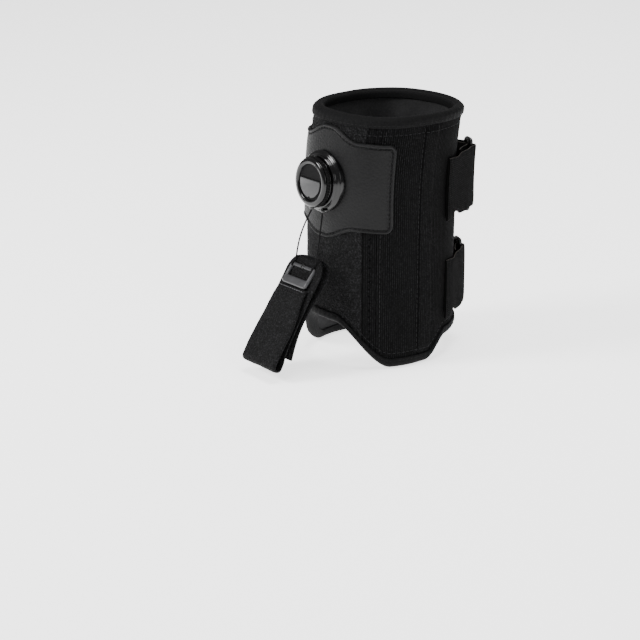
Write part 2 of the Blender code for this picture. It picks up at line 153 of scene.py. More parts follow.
def angle_at(arc):
    return np.interp(arc, ARC_LENGTHS, ARC_ANGLES)


def drape(angle, z):
    """Slow unevenness of the worn fabric, none under the dial."""
    turn = np.radians(angle)
    calm = smooth_step(turn_of(angle), 28.0, 60.0)
    wave = 0.35 * np.sin(3.0 * turn + z / 31.0) + 0.3 * np.sin(5.0 * turn - z / 19.0 + 1.0)
    wave += 0.22 * np.sin(9.0 * turn + z / 11.0 + 2.0)
    return calm * wave * 0.8


# ------------------------------------------------------------------ mesh tools


def mesh_object(name, verts, faces, uvs=None):
    """verts in millimetres; uvs has one pair for each corner of each face, in order."""
    mesh = bpy.data.meshes.new(name)
    mesh.from_pydata((np.asarray(verts, float) * MM).tolist(), [], [tuple(int(i) for i in f) for f in faces])
    mesh.validate()
    if uvs is not None:
        layer = mesh.uv_layers.new(name="UVMap")
        layer.data.foreach_set("uv", np.asarray(uvs, np.float32).ravel())
    mesh.shade_smooth()
    obj = bpy.data.objects.new(name, mesh)
    bpy.context.scene.collection.objects.link(obj)
    return obj


def quads(columns, rows, loop=True):
    """Faces of a closed ring of columns of points; with loop, each column's end joins its start."""
    faces = []
    for i in range(columns):
        k = (i + 1) % columns
        for j in range(rows if loop else rows - 1):
            n = (j + 1) % rows
            faces.append((i * rows + j, k * rows + j, k * rows + n, i * rows + n))
    return faces


def face_outward(obj):
    bm = bmesh.new()
    bm.from_mesh(obj.data)
    bmesh.ops.recalc_face_normals(bm, faces=bm.faces)
    bm.to_mesh(obj.data)
    bm.free()


def skin_grids(name, outer, inner, u, v, ring=False):
    """A closed shell between two grids of points (columns, rows, 3); u and v are its UVs in millimetres."""
    cols, rows = outer.shape[:2]
    count = cols * rows
    verts = np.concatenate([outer.reshape(-1, 3), inner.reshape(-1, 3)])
    last = cols if ring else cols - 1
    i, j = np.meshgrid(np.arange(last), np.arange(rows - 1), indexing="ij")
    i, j = i.ravel(), j.ravel()
    k = (i + 1) % cols
    at = lambda a, b: a * rows + b
    front = np.stack([at(i, j), at(k, j), at(k, j + 1), at(i, j + 1)], axis=1)
    back = front[:, ::-1] + count
    faces = [front, back]
    edge = np.arange(last)
    after = (edge + 1) % cols
    strip = lambda a, b, c, d: faces.append(np.stack([a, b, c, d], axis=1))
    strip(at(edge, 0) + count, at(after, 0) + count, at(after, 0), at(edge, 0))
    top = rows - 1
    strip(at(edge, top), at(after, top), at(after, top) + count, at(edge, top) + count)
    if not ring:
        row = np.arange(rows - 1)
        strip(at(0, row), at(0, row + 1), at(0, row + 1) + count, at(0, row) + count)
        end = cols - 1
        strip(at(end, row) + count, at(end, row + 1) + count, at(end, row + 1), at(end, row))
    faces = np.concatenate(faces)
    u = np.broadcast_to(u, (cols, rows)).ravel()
    v = np.broadcast_to(v, (cols, rows)).ravel()
    flat = faces % count
    face_u, face_v = u[flat], v[flat]
    if ring:
        span = u.max() - u.min()
        wrapped = (face_u.max(axis=1) - face_u.min(axis=1) > span / 2.0)[:, None]
        face_u = np.where(wrapped & (face_u < u.min() + span / 2.0), face_u + span + span / cols, face_u)
    uvs = np.stack([face_u, face_v], axis=-1) / 100.0
    volume = np.einsum("ij,ij->i", verts[faces[:, 0]], np.cross(verts[faces[:, 1]], verts[faces[:, 2]])).sum()
    if volume < 0.0:
        faces = faces[:, ::-1]
        uvs = uvs[:, ::-1]
    return mesh_object(name, verts, faces, uvs.reshape(-1, 2))


def edge_round(cols_to, rows_to, radius):
    """How far a point near the border drops in, so that cut edges look soft; distances in millimetres."""
    near = np.minimum(cols_to, rows_to)
    t = np.clip(1.0 - near / radius, 0.0, 1.0)
    return radius * (1.0 - np.sqrt(np.clip(1.0 - t * t, 0.0, 1.0)))


def border_distance(arc, z, low, high, arc_low, arc_high):
    sides = np.minimum(arc - arc_low, arc_high - arc)
    ends = np.minimum(z - low, high - z)
    return np.maximum(sides, 0.0), np.maximum(ends, 0.0)


def panel(name, start, end, outer, col_step, row_step, relief, round_mm):
    """One sewn layer of the cuff; relief(arc, z, angle) adds height to its outer face."""
    arcs = np.linspace(arc_of(start), arc_of(end), max(3, int(abs(arc_of(end) - arc_of(start)) / col_step)))
    angles = angle_at(arcs)
    bottom, top = lower_edge(angles), upper_edge(angles)
    count = max(3, int((top - bottom).max() / row_step))
    t = np.linspace(0.0, 1.0, count)
    z = bottom[:, None] + (top - bottom)[:, None] * t
    angle = np.repeat(angles[:, None], count, axis=1)
    arc = np.repeat(arcs[:, None], count, axis=1)
    sides, ends = border_distance(arc, z, bottom[:, None], top[:, None], arcs[0], arcs[-1])
    base = drape(angle, z)
    face = base + outer - edge_round(sides, ends, round_mm) + relief(arc, z, angle)
    back = np.minimum(base - SHELL_THICK + stay_bulge(angle, z), face - THINNEST_LAYER)
    return skin_grids(name, cuff(angle, z, face), cuff(angle, z, back), arc, z)


def stay_bulge(angle, z):
    across = 1.0 - smooth_step(np.abs(turn_of(angle) - STAY_ANGLE), STAY_HALF + 0.3, STAY_HALF + 3.0)
    along = smooth_step(z - lower_edge(angle), 6.0, 12.0) * smooth_step(upper_edge(angle) - z, 6.0, 12.0)
    return STAY_RISE * across * along


def fillet(points, radius, closed=False, steps=4):
    """Round the corners of a plane outline with short curves."""
    points = [np.array(p, float) for p in points]
    count = len(points)
    result = []
    for k, here in enumerate(points):
        if not closed and k in (0, count - 1):
            result.append(here)
            continue
        before, after = points[k - 1], points[(k + 1) % count]
        to_before, to_after = before - here, after - here
        cut = min(radius, np.linalg.norm(to_before) * 0.45, np.linalg.norm(to_after) * 0.45)
        a = here + to_before / np.linalg.norm(to_before) * cut
        b = here + to_after / np.linalg.norm(to_after) * cut
        for t in np.linspace(0.0, 1.0, steps + 1):
            result.append(a * (1 - t) ** 2 + here * 2 * t * (1 - t) + b * t * t)
    return np.array(result)


def dial_matrix():
    return Matrix.Translation(Vector(DIAL_POINT)) @ Matrix.Rotation(math.radians(90.0 - DIAL_TILT), 4, "X")


DIAL = np.array(dial_matrix())


def to_dial(points):
    points = np.asarray(points, float)
    return points @ DIAL[:3, :3].T + DIAL[:3, 3]


def lathe(name, profile, segments, radius, wobble=None, closed=True):
    """Turn an (r, h) outline about the dial's axis; wobble(turn, r, h) changes the radius."""
    outline = fillet(profile, radius, closed=closed)
    turns = np.linspace(0.0, TAU, segments, endpoint=False)
    r = np.repeat(outline[None, :, 0], segments, axis=0)
    h = np.repeat(outline[None, :, 1], segments, axis=0)
    turn = np.repeat(turns[:, None], len(outline), axis=1)
    if wobble is not None:
        r = r + wobble(turn, r, h)
    verts = to_dial(np.stack([r * np.cos(turn), r * np.sin(turn), h], axis=-1).reshape(-1, 3))
    obj = mesh_object(name, verts, quads(segments, len(outline), closed))
    clean(obj, 0.00001)
    return obj


def clean(obj, distance):
    bm = bmesh.new()
    bm.from_mesh(obj.data)
    bmesh.ops.remove_doubles(bm, verts=bm.verts, dist=distance)
    bmesh.ops.dissolve_degenerate(bm, dist=distance / 2.0, edges=bm.edges)
    bmesh.ops.recalc_face_normals(bm, faces=bm.faces)
    bm.to_mesh(obj.data)
    bm.free()
    obj.data.shade_smooth()
    obj.data.set_sharp_from_angle(angle=math.radians(50))


def tube(name, path, radius, sides, closed=False, relief=None):
    """A round tube along points in millimetres; relief(turn, length) changes its radius."""
    path = np.asarray(path, float)
    if closed:
        ahead, behind = np.roll(path, -1, axis=0), np.roll(path, 1, axis=0)
    else:
        ahead = np.concatenate([path[1:], path[-1:]])
        behind = np.concatenate([path[:1], path[:-1]])
    run = unit_rows(ahead - behind)
    side = np.cross(run[0], (0.0, 0.0, 1.0))
    if np.linalg.norm(side) < 0.1:
        side = np.cross(run[0], (0.0, 1.0, 0.0))
    side /= np.linalg.norm(side)
    turns = np.linspace(0.0, TAU, sides, endpoint=False)
    lengths = reach_along(path)
    verts = []
    for k, point in enumerate(path):
        side = side - run[k] * np.dot(side, run[k])
        side /= np.linalg.norm(side)
        up = np.cross(run[k], side)
        thick = radius if relief is None else radius + relief(turns, lengths[k])
        ring = point + (np.cos(turns) * thick)[:, None] * side + (np.sin(turns) * thick)[:, None] * up
        verts.extend(ring)
    count = len(path)
    faces = []
    uvs = []
    for k in range(count if closed else count - 1):
        n = (k + 1) % count
        for j in range(sides):
            m = (j + 1) % sides
            faces.append((k * sides + j, k * sides + m, n * sides + m, n * sides + j))
            here = lengths[k] / 100.0
            then = lengths[n] / 100.0 if n else here
            uvs += [(j / sides, here), ((j + 1) / sides, here), ((j + 1) / sides, then), (j / sides, then)]
    if not closed:
        faces.append(tuple(range(sides))[::-1])
        faces.append(tuple(range((count - 1) * sides, count * sides)))
        uvs += [(0.0, 0.0)] * (2 * sides)
    return mesh_object(name, np.array(verts), faces, uvs)


STITCH_SIDES = 6
STITCH_SHAPE = (
    (0.0, 0.25, -0.06), (0.12, 0.8, 0.03), (0.5, 1.0, 0.12), (0.88, 0.8, 0.03), (1.0, 0.25, -0.06))


def stitches(name, paths, normals, length, gap, radius):
    """Rows of thread stitches: each is a short plump grain of thread lying on the surface."""
    verts, faces = [], []
    for path, normal in zip(paths, normals):
        path, normal = np.asarray(path, float), np.asarray(normal, float)
        reach = reach_along(path)
        start = gap / 2.0
        while start + length < reach[-1]:
            base = len(verts)
            for share, thick, lift in STITCH_SHAPE:
                where = start + length * share
                point = np.array([np.interp(where, reach, path[:, a]) for a in range(3)])
                ahead = np.array([np.interp(where + 0.2, reach, path[:, a]) for a in range(3)])
                behind = np.array([np.interp(where - 0.2, reach, path[:, a]) for a in range(3)])
                out = np.array([np.interp(where, reach, normal[:, a]) for a in range(3)])
                run = ahead - behind
                run /= np.linalg.norm(run)
                side = np.cross(run, out)
                side /= np.linalg.norm(side)
                for turn in np.linspace(0.0, TAU, STITCH_SIDES, endpoint=False):
                    verts.append(point + out * (lift + radius * thick * math.sin(turn))
                                 + side * radius * thick * math.cos(turn))
            rings = len(STITCH_SHAPE)
            for k in range(rings - 1):
                for j in range(STITCH_SIDES):
                    m = (j + 1) % STITCH_SIDES
                    a = base + k * STITCH_SIDES
                    faces.append((a + j, a + m, a + STITCH_SIDES + m, a + STITCH_SIDES + j))
            faces.append(tuple(base + j for j in range(STITCH_SIDES))[::-1])
            faces.append(tuple(base + (rings - 1) * STITCH_SIDES + j for j in range(STITCH_SIDES)))
            start += length + gap
    obj = mesh_object(name, np.array(verts), faces)
    clean(obj, 0.000001)
    return obj


def on_cuff(angles, z, offset):
    """Points and outward normals along a line on the cuff."""
    angles, z = np.broadcast_arrays(np.asarray(angles, float), np.asarray(z, float))
    height = offset + drape(angles, z)
    points = cuff(angles, z, height)
    out = cuff(angles, z, height + 1.0) - points
    return points, unit_rows(out)


# ------------------------------------------------------------------ materials


class Nodes:
    """Short names for building one material's node tree."""

    def __init__(self, name, color, roughness, metallic=0.0):
        self.material = bpy.data.materials.new(name)
        self.material.use_nodes = True
        self.tree = self.material.node_tree
        self.shader = self.tree.nodes["Principled BSDF"]
        self.set("Base Color", (*color, 1.0))
        self.set("Roughness", roughness)
        self.set("Metallic", metallic)

    def set(self, socket, value):
        self.shader.inputs[socket].default_value = value

    def add(self, kind, **settings):
        node = self.tree.nodes.new(kind)
        for key, value in settings.items():
            if key in node.inputs:
                node.inputs[key].default_value = value
            else:
                setattr(node, key, value)
        return node

    def link(self, source, target):
        self.tree.links.new(source, target)

    def uv(self, scale):
        source = self.add("ShaderNodeTexCoord")
        mapping = self.add("ShaderNodeMapping", Scale=scale)
        self.link(source.outputs["UV"], mapping.inputs["Vector"])
        return mapping.outputs["Vector"]

    def place(self):
        return self.add("ShaderNodeTexCoord").outputs["Object"]

    def noise(self, vector, scale, detail, roughness):
        node = self.add("ShaderNodeTexNoise", Scale=scale, Detail=detail, Roughness=roughness)
        self.link(vector, node.inputs["Vector"])
        return node.outputs["Fac"]

    def cells(self, vector, scale, feature="F1"):
        node = self.add("ShaderNodeTexVoronoi", feature=feature, Scale=scale)
        self.link(vector, node.inputs["Vector"])
        return node.outputs["Distance"]

    def wave(self, vector, scale, direction, distortion):
        node = self.add("ShaderNodeTexWave", wave_type="BANDS", bands_direction=direction,
                        wave_profile="SIN", Scale=scale, Distortion=distortion)
        self.link(vector, node.inputs["Vector"])
        return node.outputs["Fac"]

    def math(self, operation, first, second):
        node = self.add("ShaderNodeMath", operation=operation)
        for index, value in enumerate((first, second)):
            if isinstance(value, (int, float)):
                node.inputs[index].default_value = value
            else:
                self.link(value, node.inputs[index])
        return node.outputs[0]

    def ramp(self, value, stops):
        node = self.add("ShaderNodeValToRGB")
        ramp = node.color_ramp
        while len(ramp.elements) < len(stops):
            ramp.elements.new(0.5)
        for element, (at, color) in zip(ramp.elements, stops):
            element.position = at
            element.color = (*color, 1.0)
        self.link(value, node.inputs["Fac"])
        return node.outputs["Color"]

    def span(self, value, low, high):
        node = self.add("ShaderNodeMapRange")
        node.inputs["To Min"].default_value = low
        node.inputs["To Max"].default_value = high
        self.link(value, node.inputs["Value"])
        return node.outputs["Result"]

    def bump(self, height, distance, strength):
        node = self.add("ShaderNodeBump", Strength=strength, Distance=distance)
        self.link(height, node.inputs["Height"])
        return node.outputs["Normal"]

    def finish(self, color, roughness, normal):
        self.link(color, self.shader.inputs["Base Color"])
        if roughness is not None:
            self.link(roughness, self.shader.inputs["Roughness"])
        self.link(normal, self.shader.inputs["Normal"])
        return self.material


def grey(value, cool=1.06):
    return value, value, value * cool


def make_knit():
    n = Nodes("rib_knit", grey(0.006), 0.92)
    n.set("Specular IOR Level", 0.08)
    uv = n.uv((100.0, 100.0, 1.0))
    stitch = n.wave(uv, 0.42, "Y", 1.2)
    rib = n.wave(uv, 0.21, "X", 0.25)
    fuzz = n.noise(n.place(), 1100.0, 3.0, 0.6)
    height = n.math("ADD", n.math("MULTIPLY", stitch, 0.5), n.math("MULTIPLY", fuzz, 0.9))
    shade = n.math("ADD", n.math("MULTIPLY", rib, 0.22), n.math("MULTIPLY", fuzz, 0.80))
    color = n.ramp(shade, ((0.42, grey(0.0006)), (0.56, grey(0.0022)), (0.72, grey(0.013))))
    return n.finish(color, n.span(fuzz, 0.82, 1.0), n.bump(height, 0.00022, 0.8))


def make_pile():
    n = Nodes("loop_pile", grey(0.006), 0.95)
    n.set("Specular IOR Level", 0.15)
    place = n.place()
    loops = n.cells(place, 1050.0)
    fuzz = n.noise(place, 950.0, 3.0, 0.6)
    clump = n.noise(place, 160.0, 3.0, 0.6)
    height = n.math("SUBTRACT", n.math("MULTIPLY", fuzz, 0.7), loops)
    shade = n.math("ADD", n.math("MULTIPLY", fuzz, 0.9), n.math("MULTIPLY", clump, 0.14))
    color = n.ramp(shade, ((0.40, grey(0.0006)), (0.53, grey(0.0026)), (0.68, grey(0.018))))
    return n.finish(color, n.span(clump, 0.85, 1.0), n.bump(height, 0.0005, 0.9))


def make_webbing():
    n = Nodes("loop_webbing", grey(0.006), 0.93)
    n.set("Specular IOR Level", 0.15)
    place = n.place()
    loops = n.cells(place, 1000.0)
    fuzz = n.noise(place, 1150.0, 3.0, 0.6)
    clump = n.noise(place, 240.0, 2.0, 0.5)
    height = n.math("SUBTRACT", n.math("MULTIPLY", fuzz, 0.8), loops)
    shade = n.math("ADD", n.math("MULTIPLY", fuzz, 0.92), n.math("MULTIPLY", clump, 0.10))
    color = n.ramp(shade, ((0.41, grey(0.0007)), (0.53, grey(0.0026)), (0.67, grey(0.019))))
    return n.finish(color, n.span(clump, 0.82, 1.0), n.bump(height, 0.0004, 0.9))


def make_felt():
    n = Nodes("strap_felt_edge", (0.012, 0.011, 0.010), 1.0)
    place = n.place()
    fuzz = n.noise(place, 1400.0, 4.0, 0.7)
    color = n.ramp(fuzz, ((0.3, (0.008, 0.007, 0.006)), (0.7, (0.040, 0.034, 0.029))))
    return n.finish(color, None, n.bump(fuzz, 0.0004, 0.8))


def make_lining():
    n = Nodes("brushed_lining", grey(0.008), 1.0)
    place = n.place()
    fuzz = n.noise(place, 700.0, 5.0, 0.7)
    lumps = n.noise(place, 60.0, 2.0, 0.5)
    color = n.ramp(n.math("ADD", n.math("MULTIPLY", fuzz, 0.7), n.math("MULTIPLY", lumps, 0.3)),
                   ((0.3, grey(0.004)), (0.7, grey(0.016))))
    return n.finish(color, None, n.bump(fuzz, 0.0005, 0.7))


def make_binding():
    n = Nodes("binding_tape", grey(0.003), 0.9)
    n.set("Specular IOR Level", 0.08)
    uv = n.uv((100.0, 100.0, 1.0))
    weave = n.math("MULTIPLY", n.wave(uv, 0.55, "X", 0.6), n.wave(uv, 0.55, "Y", 0.6))
    fuzz = n.noise(n.place(), 1100.0, 3.0, 0.6)
    height = n.math("ADD", weave, n.math("MULTIPLY", fuzz, 0.5))
    color = n.ramp(fuzz, ((0.3, grey(0.0012)), (0.75, grey(0.0060))))
    return n.finish(color, n.span(fuzz, 0.62, 0.85), n.bump(height, 0.00012, 0.7))


def make_leather():
    n = Nodes("satin_leather", grey(0.003), 0.5)
    n.set("Specular IOR Level", 0.17)
    place = n.place()
    grain = n.cells(place, 850.0, "SMOOTH_F1")
    fine = n.noise(place, 2600.0, 3.0, 0.6)
    patchy = n.noise(place, 55.0, 4.0, 0.6)
    height = n.math("ADD", grain, n.math("MULTIPLY", fine, 0.4))
    color = n.ramp(patchy, ((0.25, grey(0.0014, 1.1)), (0.75, grey(0.0034, 1.08))))
    rough = n.span(n.math("ADD", n.math("MULTIPLY", patchy, 0.6), n.math("MULTIPLY", grain, 0.5)), 0.42, 0.60)
    return n.finish(color, rough, n.bump(height, 0.00028, 0.7))


def make_plastic(name, shade, low, high, shine):
    n = Nodes(name, grey(shade), (low + high) / 2.0)
    n.set("Specular IOR Level", shine)
    place = n.place()
    smudge = n.noise(place, 140.0, 4.0, 0.6)
    scuff = n.noise(place, 1900.0, 2.0, 0.5)
    color = n.ramp(smudge, ((0.3, grey(shade * 0.8)), (0.8, grey(shade * 1.3))))
    rough = n.span(n.math("ADD", n.math("MULTIPLY", smudge, 0.7), n.math("MULTIPLY", scuff, 0.3)), low, high)
    return n.finish(color, rough, n.bump(scuff, 0.00002, 0.25))


def make_thread(name, low, high):
    n = Nodes(name, grey(low), 0.7)
    n.set("Specular IOR Level", 0.2)
    twist = n.noise(n.place(), 2400.0, 2.0, 0.5)
    color = n.ramp(twist, ((0.3, grey(low)), (0.8, grey(high))))
    return n.finish(color, None, n.bump(twist, 0.0001, 0.6))


def make_cord_braid():
    n = Nodes("braided_cord", grey(0.003), 0.8)
    n.set("Specular IOR Level", 0.1)
    uv = n.uv((1.0, 100.0, 1.0))
    strand = n.wave(uv, 0.9, "DIAGONAL", 0.4)
    color = n.ramp(strand, ((0.1, grey(0.0008)), (0.9, grey(0.008))))
    return n.finish(color, n.span(strand, 0.60, 0.85), n.bump(strand, 0.0001, 0.8))


def make_steel():
    n = Nodes("brushed_steel", (0.42, 0.42, 0.44), 0.32, 1.0)
    lines = n.noise(n.place(), 800.0, 3.0, 0.6)
    return n.finish(n.ramp(lines, ((0.3, (0.30, 0.30, 0.32)), (0.8, (0.50, 0.50, 0.52)))),
                    n.span(lines, 0.22, 0.42), n.bump(lines, 0.00002, 0.3))


def make_hook_tape():
    n = Nodes("hook_tape", grey(0.022), 0.6)
    place = n.place()
    dots = n.cells(place, 1000.0)
    return n.finish(n.ramp(dots, ((0.1, grey(0.02)), (0.6, grey(0.004)))), None, n.bump(dots, 0.0005, 0.8))


KNIT, PILE, WEBBING, FELT, LINING = make_knit(), make_pile(), make_webbing(), make_felt(), make_lining()
BINDING, LEATHER, THREAD = make_binding(), make_leather(), make_thread("thread", 0.001, 0.006)
BRAID = make_cord_braid()
GLOSS = make_plastic("gloss_plastic", 0.002, 0.08, 0.18, 0.36)
SATIN = make_plastic("satin_plastic", 0.006, 0.24, 0.36, 0.40)
PLATE = make_plastic("badge_plastic", 0.016, 0.24, 0.34, 0.45)
RUBBER = make_plastic("grip_rubber", 0.0015, 0.55, 0.75, 0.10)
STEEL, HOOKS, PALE_THREAD = make_steel(), make_hook_tape(), make_thread("pale_thread", 0.05, 0.16)
CUFF_THREAD = make_thread("cuff_thread", 0.006, 0.026)
BUCKLE_PLASTIC = make_plastic("buckle_plastic", 0.034, 0.26, 0.36, 0.5)


def dress(obj, material, body, slot, *nodes):
    """Give a piece its material, body and the CAD nodes that it stands for; the slot argument is not used."""
    if material is not None:
        obj.data.materials.clear()
        obj.data.materials.append(material)
    if body:
        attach(obj, body)
    if nodes:
        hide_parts(*nodes)
    return obj


# ------------------------------------------------------------------ camera, light and floor

CAMERA_AZIMUTH, CAMERA_ELEVATION, CAMERA_DISTANCE = 52.0, 18.5, 1.45
CAMERA_LENS, SENSOR = 115.9, 36.0
AIM = Vector((AXIS_X - 25.9, AXIS_Y - 33.1, 18.8)) * MM


def make_camera():
    turn, lift = math.radians(CAMERA_AZIMUTH), math.radians(CAMERA_ELEVATION)
    toward = Vector((math.sin(turn) * math.cos(lift), -math.cos(turn) * math.cos(lift), math.sin(lift)))
    data = bpy.data.cameras.new("camera")
    data.lens = CAMERA_LENS
    data.sensor_width = SENSOR
    data.clip_start = 0.05
    data.clip_end = 20.0
    camera = bpy.data.objects.new("camera", data)
    camera.location = AIM + toward * CAMERA_DISTANCE
    camera.rotation_euler = (-toward).to_track_quat("-Z", "Y").to_euler()
    bpy.context.scene.collection.objects.link(camera)
    bpy.context.scene.camera = camera


def area_light(name, place, aim, size, power):
    data = bpy.data.lights.new(name, "AREA")
    data.shape = "DISK"
    data.size = size
    data.energy = power
    light = bpy.data.objects.new(name, data)
    light.location = place
    light.rotation_euler = (Vector(aim) - Vector(place)).to_track_quat("-Z", "Y").to_euler()
    bpy.context.scene.collection.objects.link(light)


def make_studio():
    world = bpy.data.worlds.new("studio")
    bpy.context.scene.world = world
    world.use_nodes = True
    background = world.node_tree.nodes["Background"]
    background.inputs["Color"].default_value = (1.0, 1.0, 1.0, 1.0)
    background.inputs["Strength"].default_value = 0.32
    middle = (0.0, 0.0, 0.09)
    area_light("key", (-0.55, -1.35, 1.15), middle, 0.6, 34.0)
    area_light("side", (1.5, -0.1, 0.75), middle, 0.8, 6.0)
    area_light("top", (0.1, 0.2, 1.6), middle, 0.8, 22.0)
    area_light("rim", (-0.6, 1.2, 0.9), middle, 0.9, 2.5)
    bpy.ops.mesh.primitive_plane_add(size=14.0, location=(0.0, 0.0, -0.0002))
    floor = bpy.context.object
    floor.name = "studio_floor"
    material = bpy.data.materials.new("floor_paint")
    material.use_nodes = True
    shader = material.node_tree.nodes["Principled BSDF"]
    shader.inputs["Base Color"].default_value = (0.95, 0.95, 0.95, 1.0)
    shader.inputs["Roughness"].default_value = 0.9
    shader.inputs["Emission Color"].default_value = (1.0, 1.0, 1.0, 1.0)
    shader.inputs["Emission Strength"].default_value = 1.8
    floor.data.materials.append(material)


make_camera()
make_studio()

# ------------------------------------------------------------------ cords, dial exit to buckle

BUCKLE_TOP = np.array((AXIS_X, AXIS_Y - 67.6, 70.0))
BUCKLE_BOTTOM = np.array((AXIS_X, AXIS_Y - 74.6, 61.5))
BUCKLE_WIDE = 26.0
CORD_RADIUS, PORT_X, CORD_EYE_X = 0.55, 6.0, 10.6


def unit(vector):
    return vector / np.linalg.norm(vector)


BUCKLE_DOWN = unit(BUCKLE_BOTTOM - BUCKLE_TOP)
BUCKLE_OUT = unit(np.cross((1.0, 0.0, 0.0), BUCKLE_DOWN))
if BUCKLE_OUT[1] > 0.0:
    BUCKLE_OUT = -BUCKLE_OUT


def smooth_path(points, per_span):
    """Catmull-Rom points through the given points."""
    points = np.asarray(points, float)
    ends = np.concatenate([points[:1], points, points[-1:]])
    result = []
    for a, b, c, d in zip(ends, ends[1:], ends[2:], ends[3:]):
        for t in np.arange(per_span) / per_span:
            result.append(0.5 * (2 * b + (c - a) * t + (2 * a - 5 * b + 4 * c - d) * t * t
                                 + (3 * b - a - 3 * c + d) * t ** 3))
    result.append(points[-1])
    return np.array(result)


def cord_route(sign):
    begin = CORD_PIVOT + np.array((sign * PORT_X, 0.0, 0.0))
    end = BUCKLE_TOP + np.array((sign * CORD_EYE_X, 0.0, 0.0)) - BUCKLE_DOWN * 2.7
    bow = np.array((sign * 1.8, -1.2, 0.0))
    shares = (0.0, 0.25, 0.5, 0.75, 1.0)
    return smooth_path([begin + (end - begin) * t + bow * math.sin(math.pi * t) for t in shares], 12)


def make_cords():
    for side, sign in (("left", 1.0), ("right", -1.0)):
        route = cord_route(sign)
        braid = lambda turns, reach: 0.035 * np.sin(3.0 * turns + reach * 3.2)
        cord = tube("cord_" + side + "_braid", route, CORD_RADIUS, 12, relief=braid)
        dress(cord, BRAID, None, "cord", "cord_" + side)
        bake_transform(cord)


make_cords()

# ------------------------------------------------------------------ cuff layers

LINER_FACE = -SHELL_THICK - GAP


def liner_relief(angle, z):
    """Soft quilting of the padding, seen from inside."""
    arc = arc_of(angle)
    return 0.28 * np.cos(TAU * arc / 21.0) * np.cos(TAU * z / 26.0)


def make_liner():
    """Padding of the cuff: a plump ring whose inner face is lightly quilted."""
    columns = 240
    angles = np.linspace(-180.0, 180.0, columns, endpoint=False)
    bottom, top = lower_edge(angles), upper_edge(angles)
    t = np.linspace(0.0, 1.0, 90)
    z = bottom[:, None] + (top - bottom)[:, None] * t
    angle = np.repeat(angles[:, None], len(t), axis=1)
    arc = arc_of(angle)
    base = drape(angle, z)
    outer = cuff(angle, z, base + LINER_FACE)
    ends = np.minimum(z - bottom[:, None], top[:, None] - z)
    inner_face = base + LINER_FACE - LINER_THICK - liner_relief(angle, z) * smooth_step(ends, 4.0, 14.0)
    inner = cuff(angle, z, inner_face)
    liner = skin_grids("liner_padding", outer, inner, arc, z, ring=True)
    dress(liner, LINING, "cuff", "lining", "padded_liner")


def rib_height(arc, pitch, depth):
    return depth * (0.5 + 0.5 * np.cos(TAU * arc / pitch)) ** 0.7


RIB_PITCH, RIB_DEPTH = 1.55, 0.26


def groove(distance, width, depth):
    """A sewn-in line: the layer is drawn down beside the thread."""
    return -depth * np.exp(-(distance / width) ** 2)


TOP_ROW, BOTTOM_ROW = 10.5, 9.0
SEAM_WIDTH, SEAM_DEPTH = 0.9, 0.35


def top_seam(angle, z):
    return groove(upper_edge(angle) - z - TOP_ROW, SEAM_WIDTH, SEAM_DEPTH)


def seam_lines(angle, z, edges):
    dent = 0.0
    for seam in edges:
        dent = dent + groove(arc_of(turn_of(angle)) - arc_of(seam), SEAM_WIDTH, 0.32)
    dent = dent + top_seam(angle, z)
    return dent + groove(z - lower_edge(angle) - BOTTOM_ROW, SEAM_WIDTH, SEAM_DEPTH)


SIDE_STITCHES = (STAY_ANGLE - STAY_HALF - 2.4, STAY_ANGLE + STAY_HALF + 2.4, SIDE_SEAM + 3.0)


def side_relief(arc, z, angle):
    wander = 0.16 * np.sin(z / 9.0 + arc / 17.0)
    ribs = rib_height(arc + wander, RIB_PITCH, RIB_DEPTH) * (0.86 + 0.14 * np.sin(z / 1.1 + arc))
    return ribs - RIB_DEPTH * 0.6 + stay_bulge(angle, z) + seam_lines(angle, z, SIDE_STITCHES)


def heel_relief(arc, z, angle):
    return rib_height(arc, 2.2, 0.35) - 0.2 + groove(upper_edge(angle) - z - TOP_ROW, SEAM_WIDTH, 0.3)


def hash_noise(arc, z, pitch, seed):
    """Repeatable value noise on a grid of the given pitch, from 0 to 1."""
    x, y = arc / pitch + seed * 7.31, z / pitch + seed * 3.17
    i, j = np.floor(x), np.floor(y)
    u, v = smooth_step(x - i, 0.0, 1.0), smooth_step(y - j, 0.0, 1.0)

    def corner(a, b):
        mixed = np.sin(a * 127.1 + b * 311.7 + seed * 74.7) * 43758.5453
        return mixed - np.floor(mixed)

    low = corner(i, j) * (1 - u) + corner(i + 1, j) * u
    high = corner(i, j + 1) * (1 - u) + corner(i + 1, j + 1) * u
    return low * (1 - v) + high * v


def pile_relief(arc, z, angle):
    loops = 0.5 * hash_noise(arc, z, 0.9, 1.0) + 0.3 * hash_noise(arc, z, 2.3, 2.0)
    loops = loops + 0.4 * hash_noise(arc, z, 6.0, 3.0)
    return 0.55 * (loops - 0.7) + top_seam(angle, z)


HOLE_PITCH = 5.0
HOLE_ANGLE = 42.0


def mesh_relief(arc, z, angle):
    across = arc_of(turn_of(angle)) - arc_of(HOLE_ANGLE)
    along = (z / HOLE_PITCH - np.floor(z / HOLE_PITCH) - 0.5) * HOLE_PITCH
    pit = -0.8 * np.exp(-((across / 0.75) ** 2 + (along / 0.95) ** 2) ** 2)
    weave = 0.14 * np.sin(TAU * arc / 1.3) * np.sin(TAU * z / 1.3)
    return pit + weave


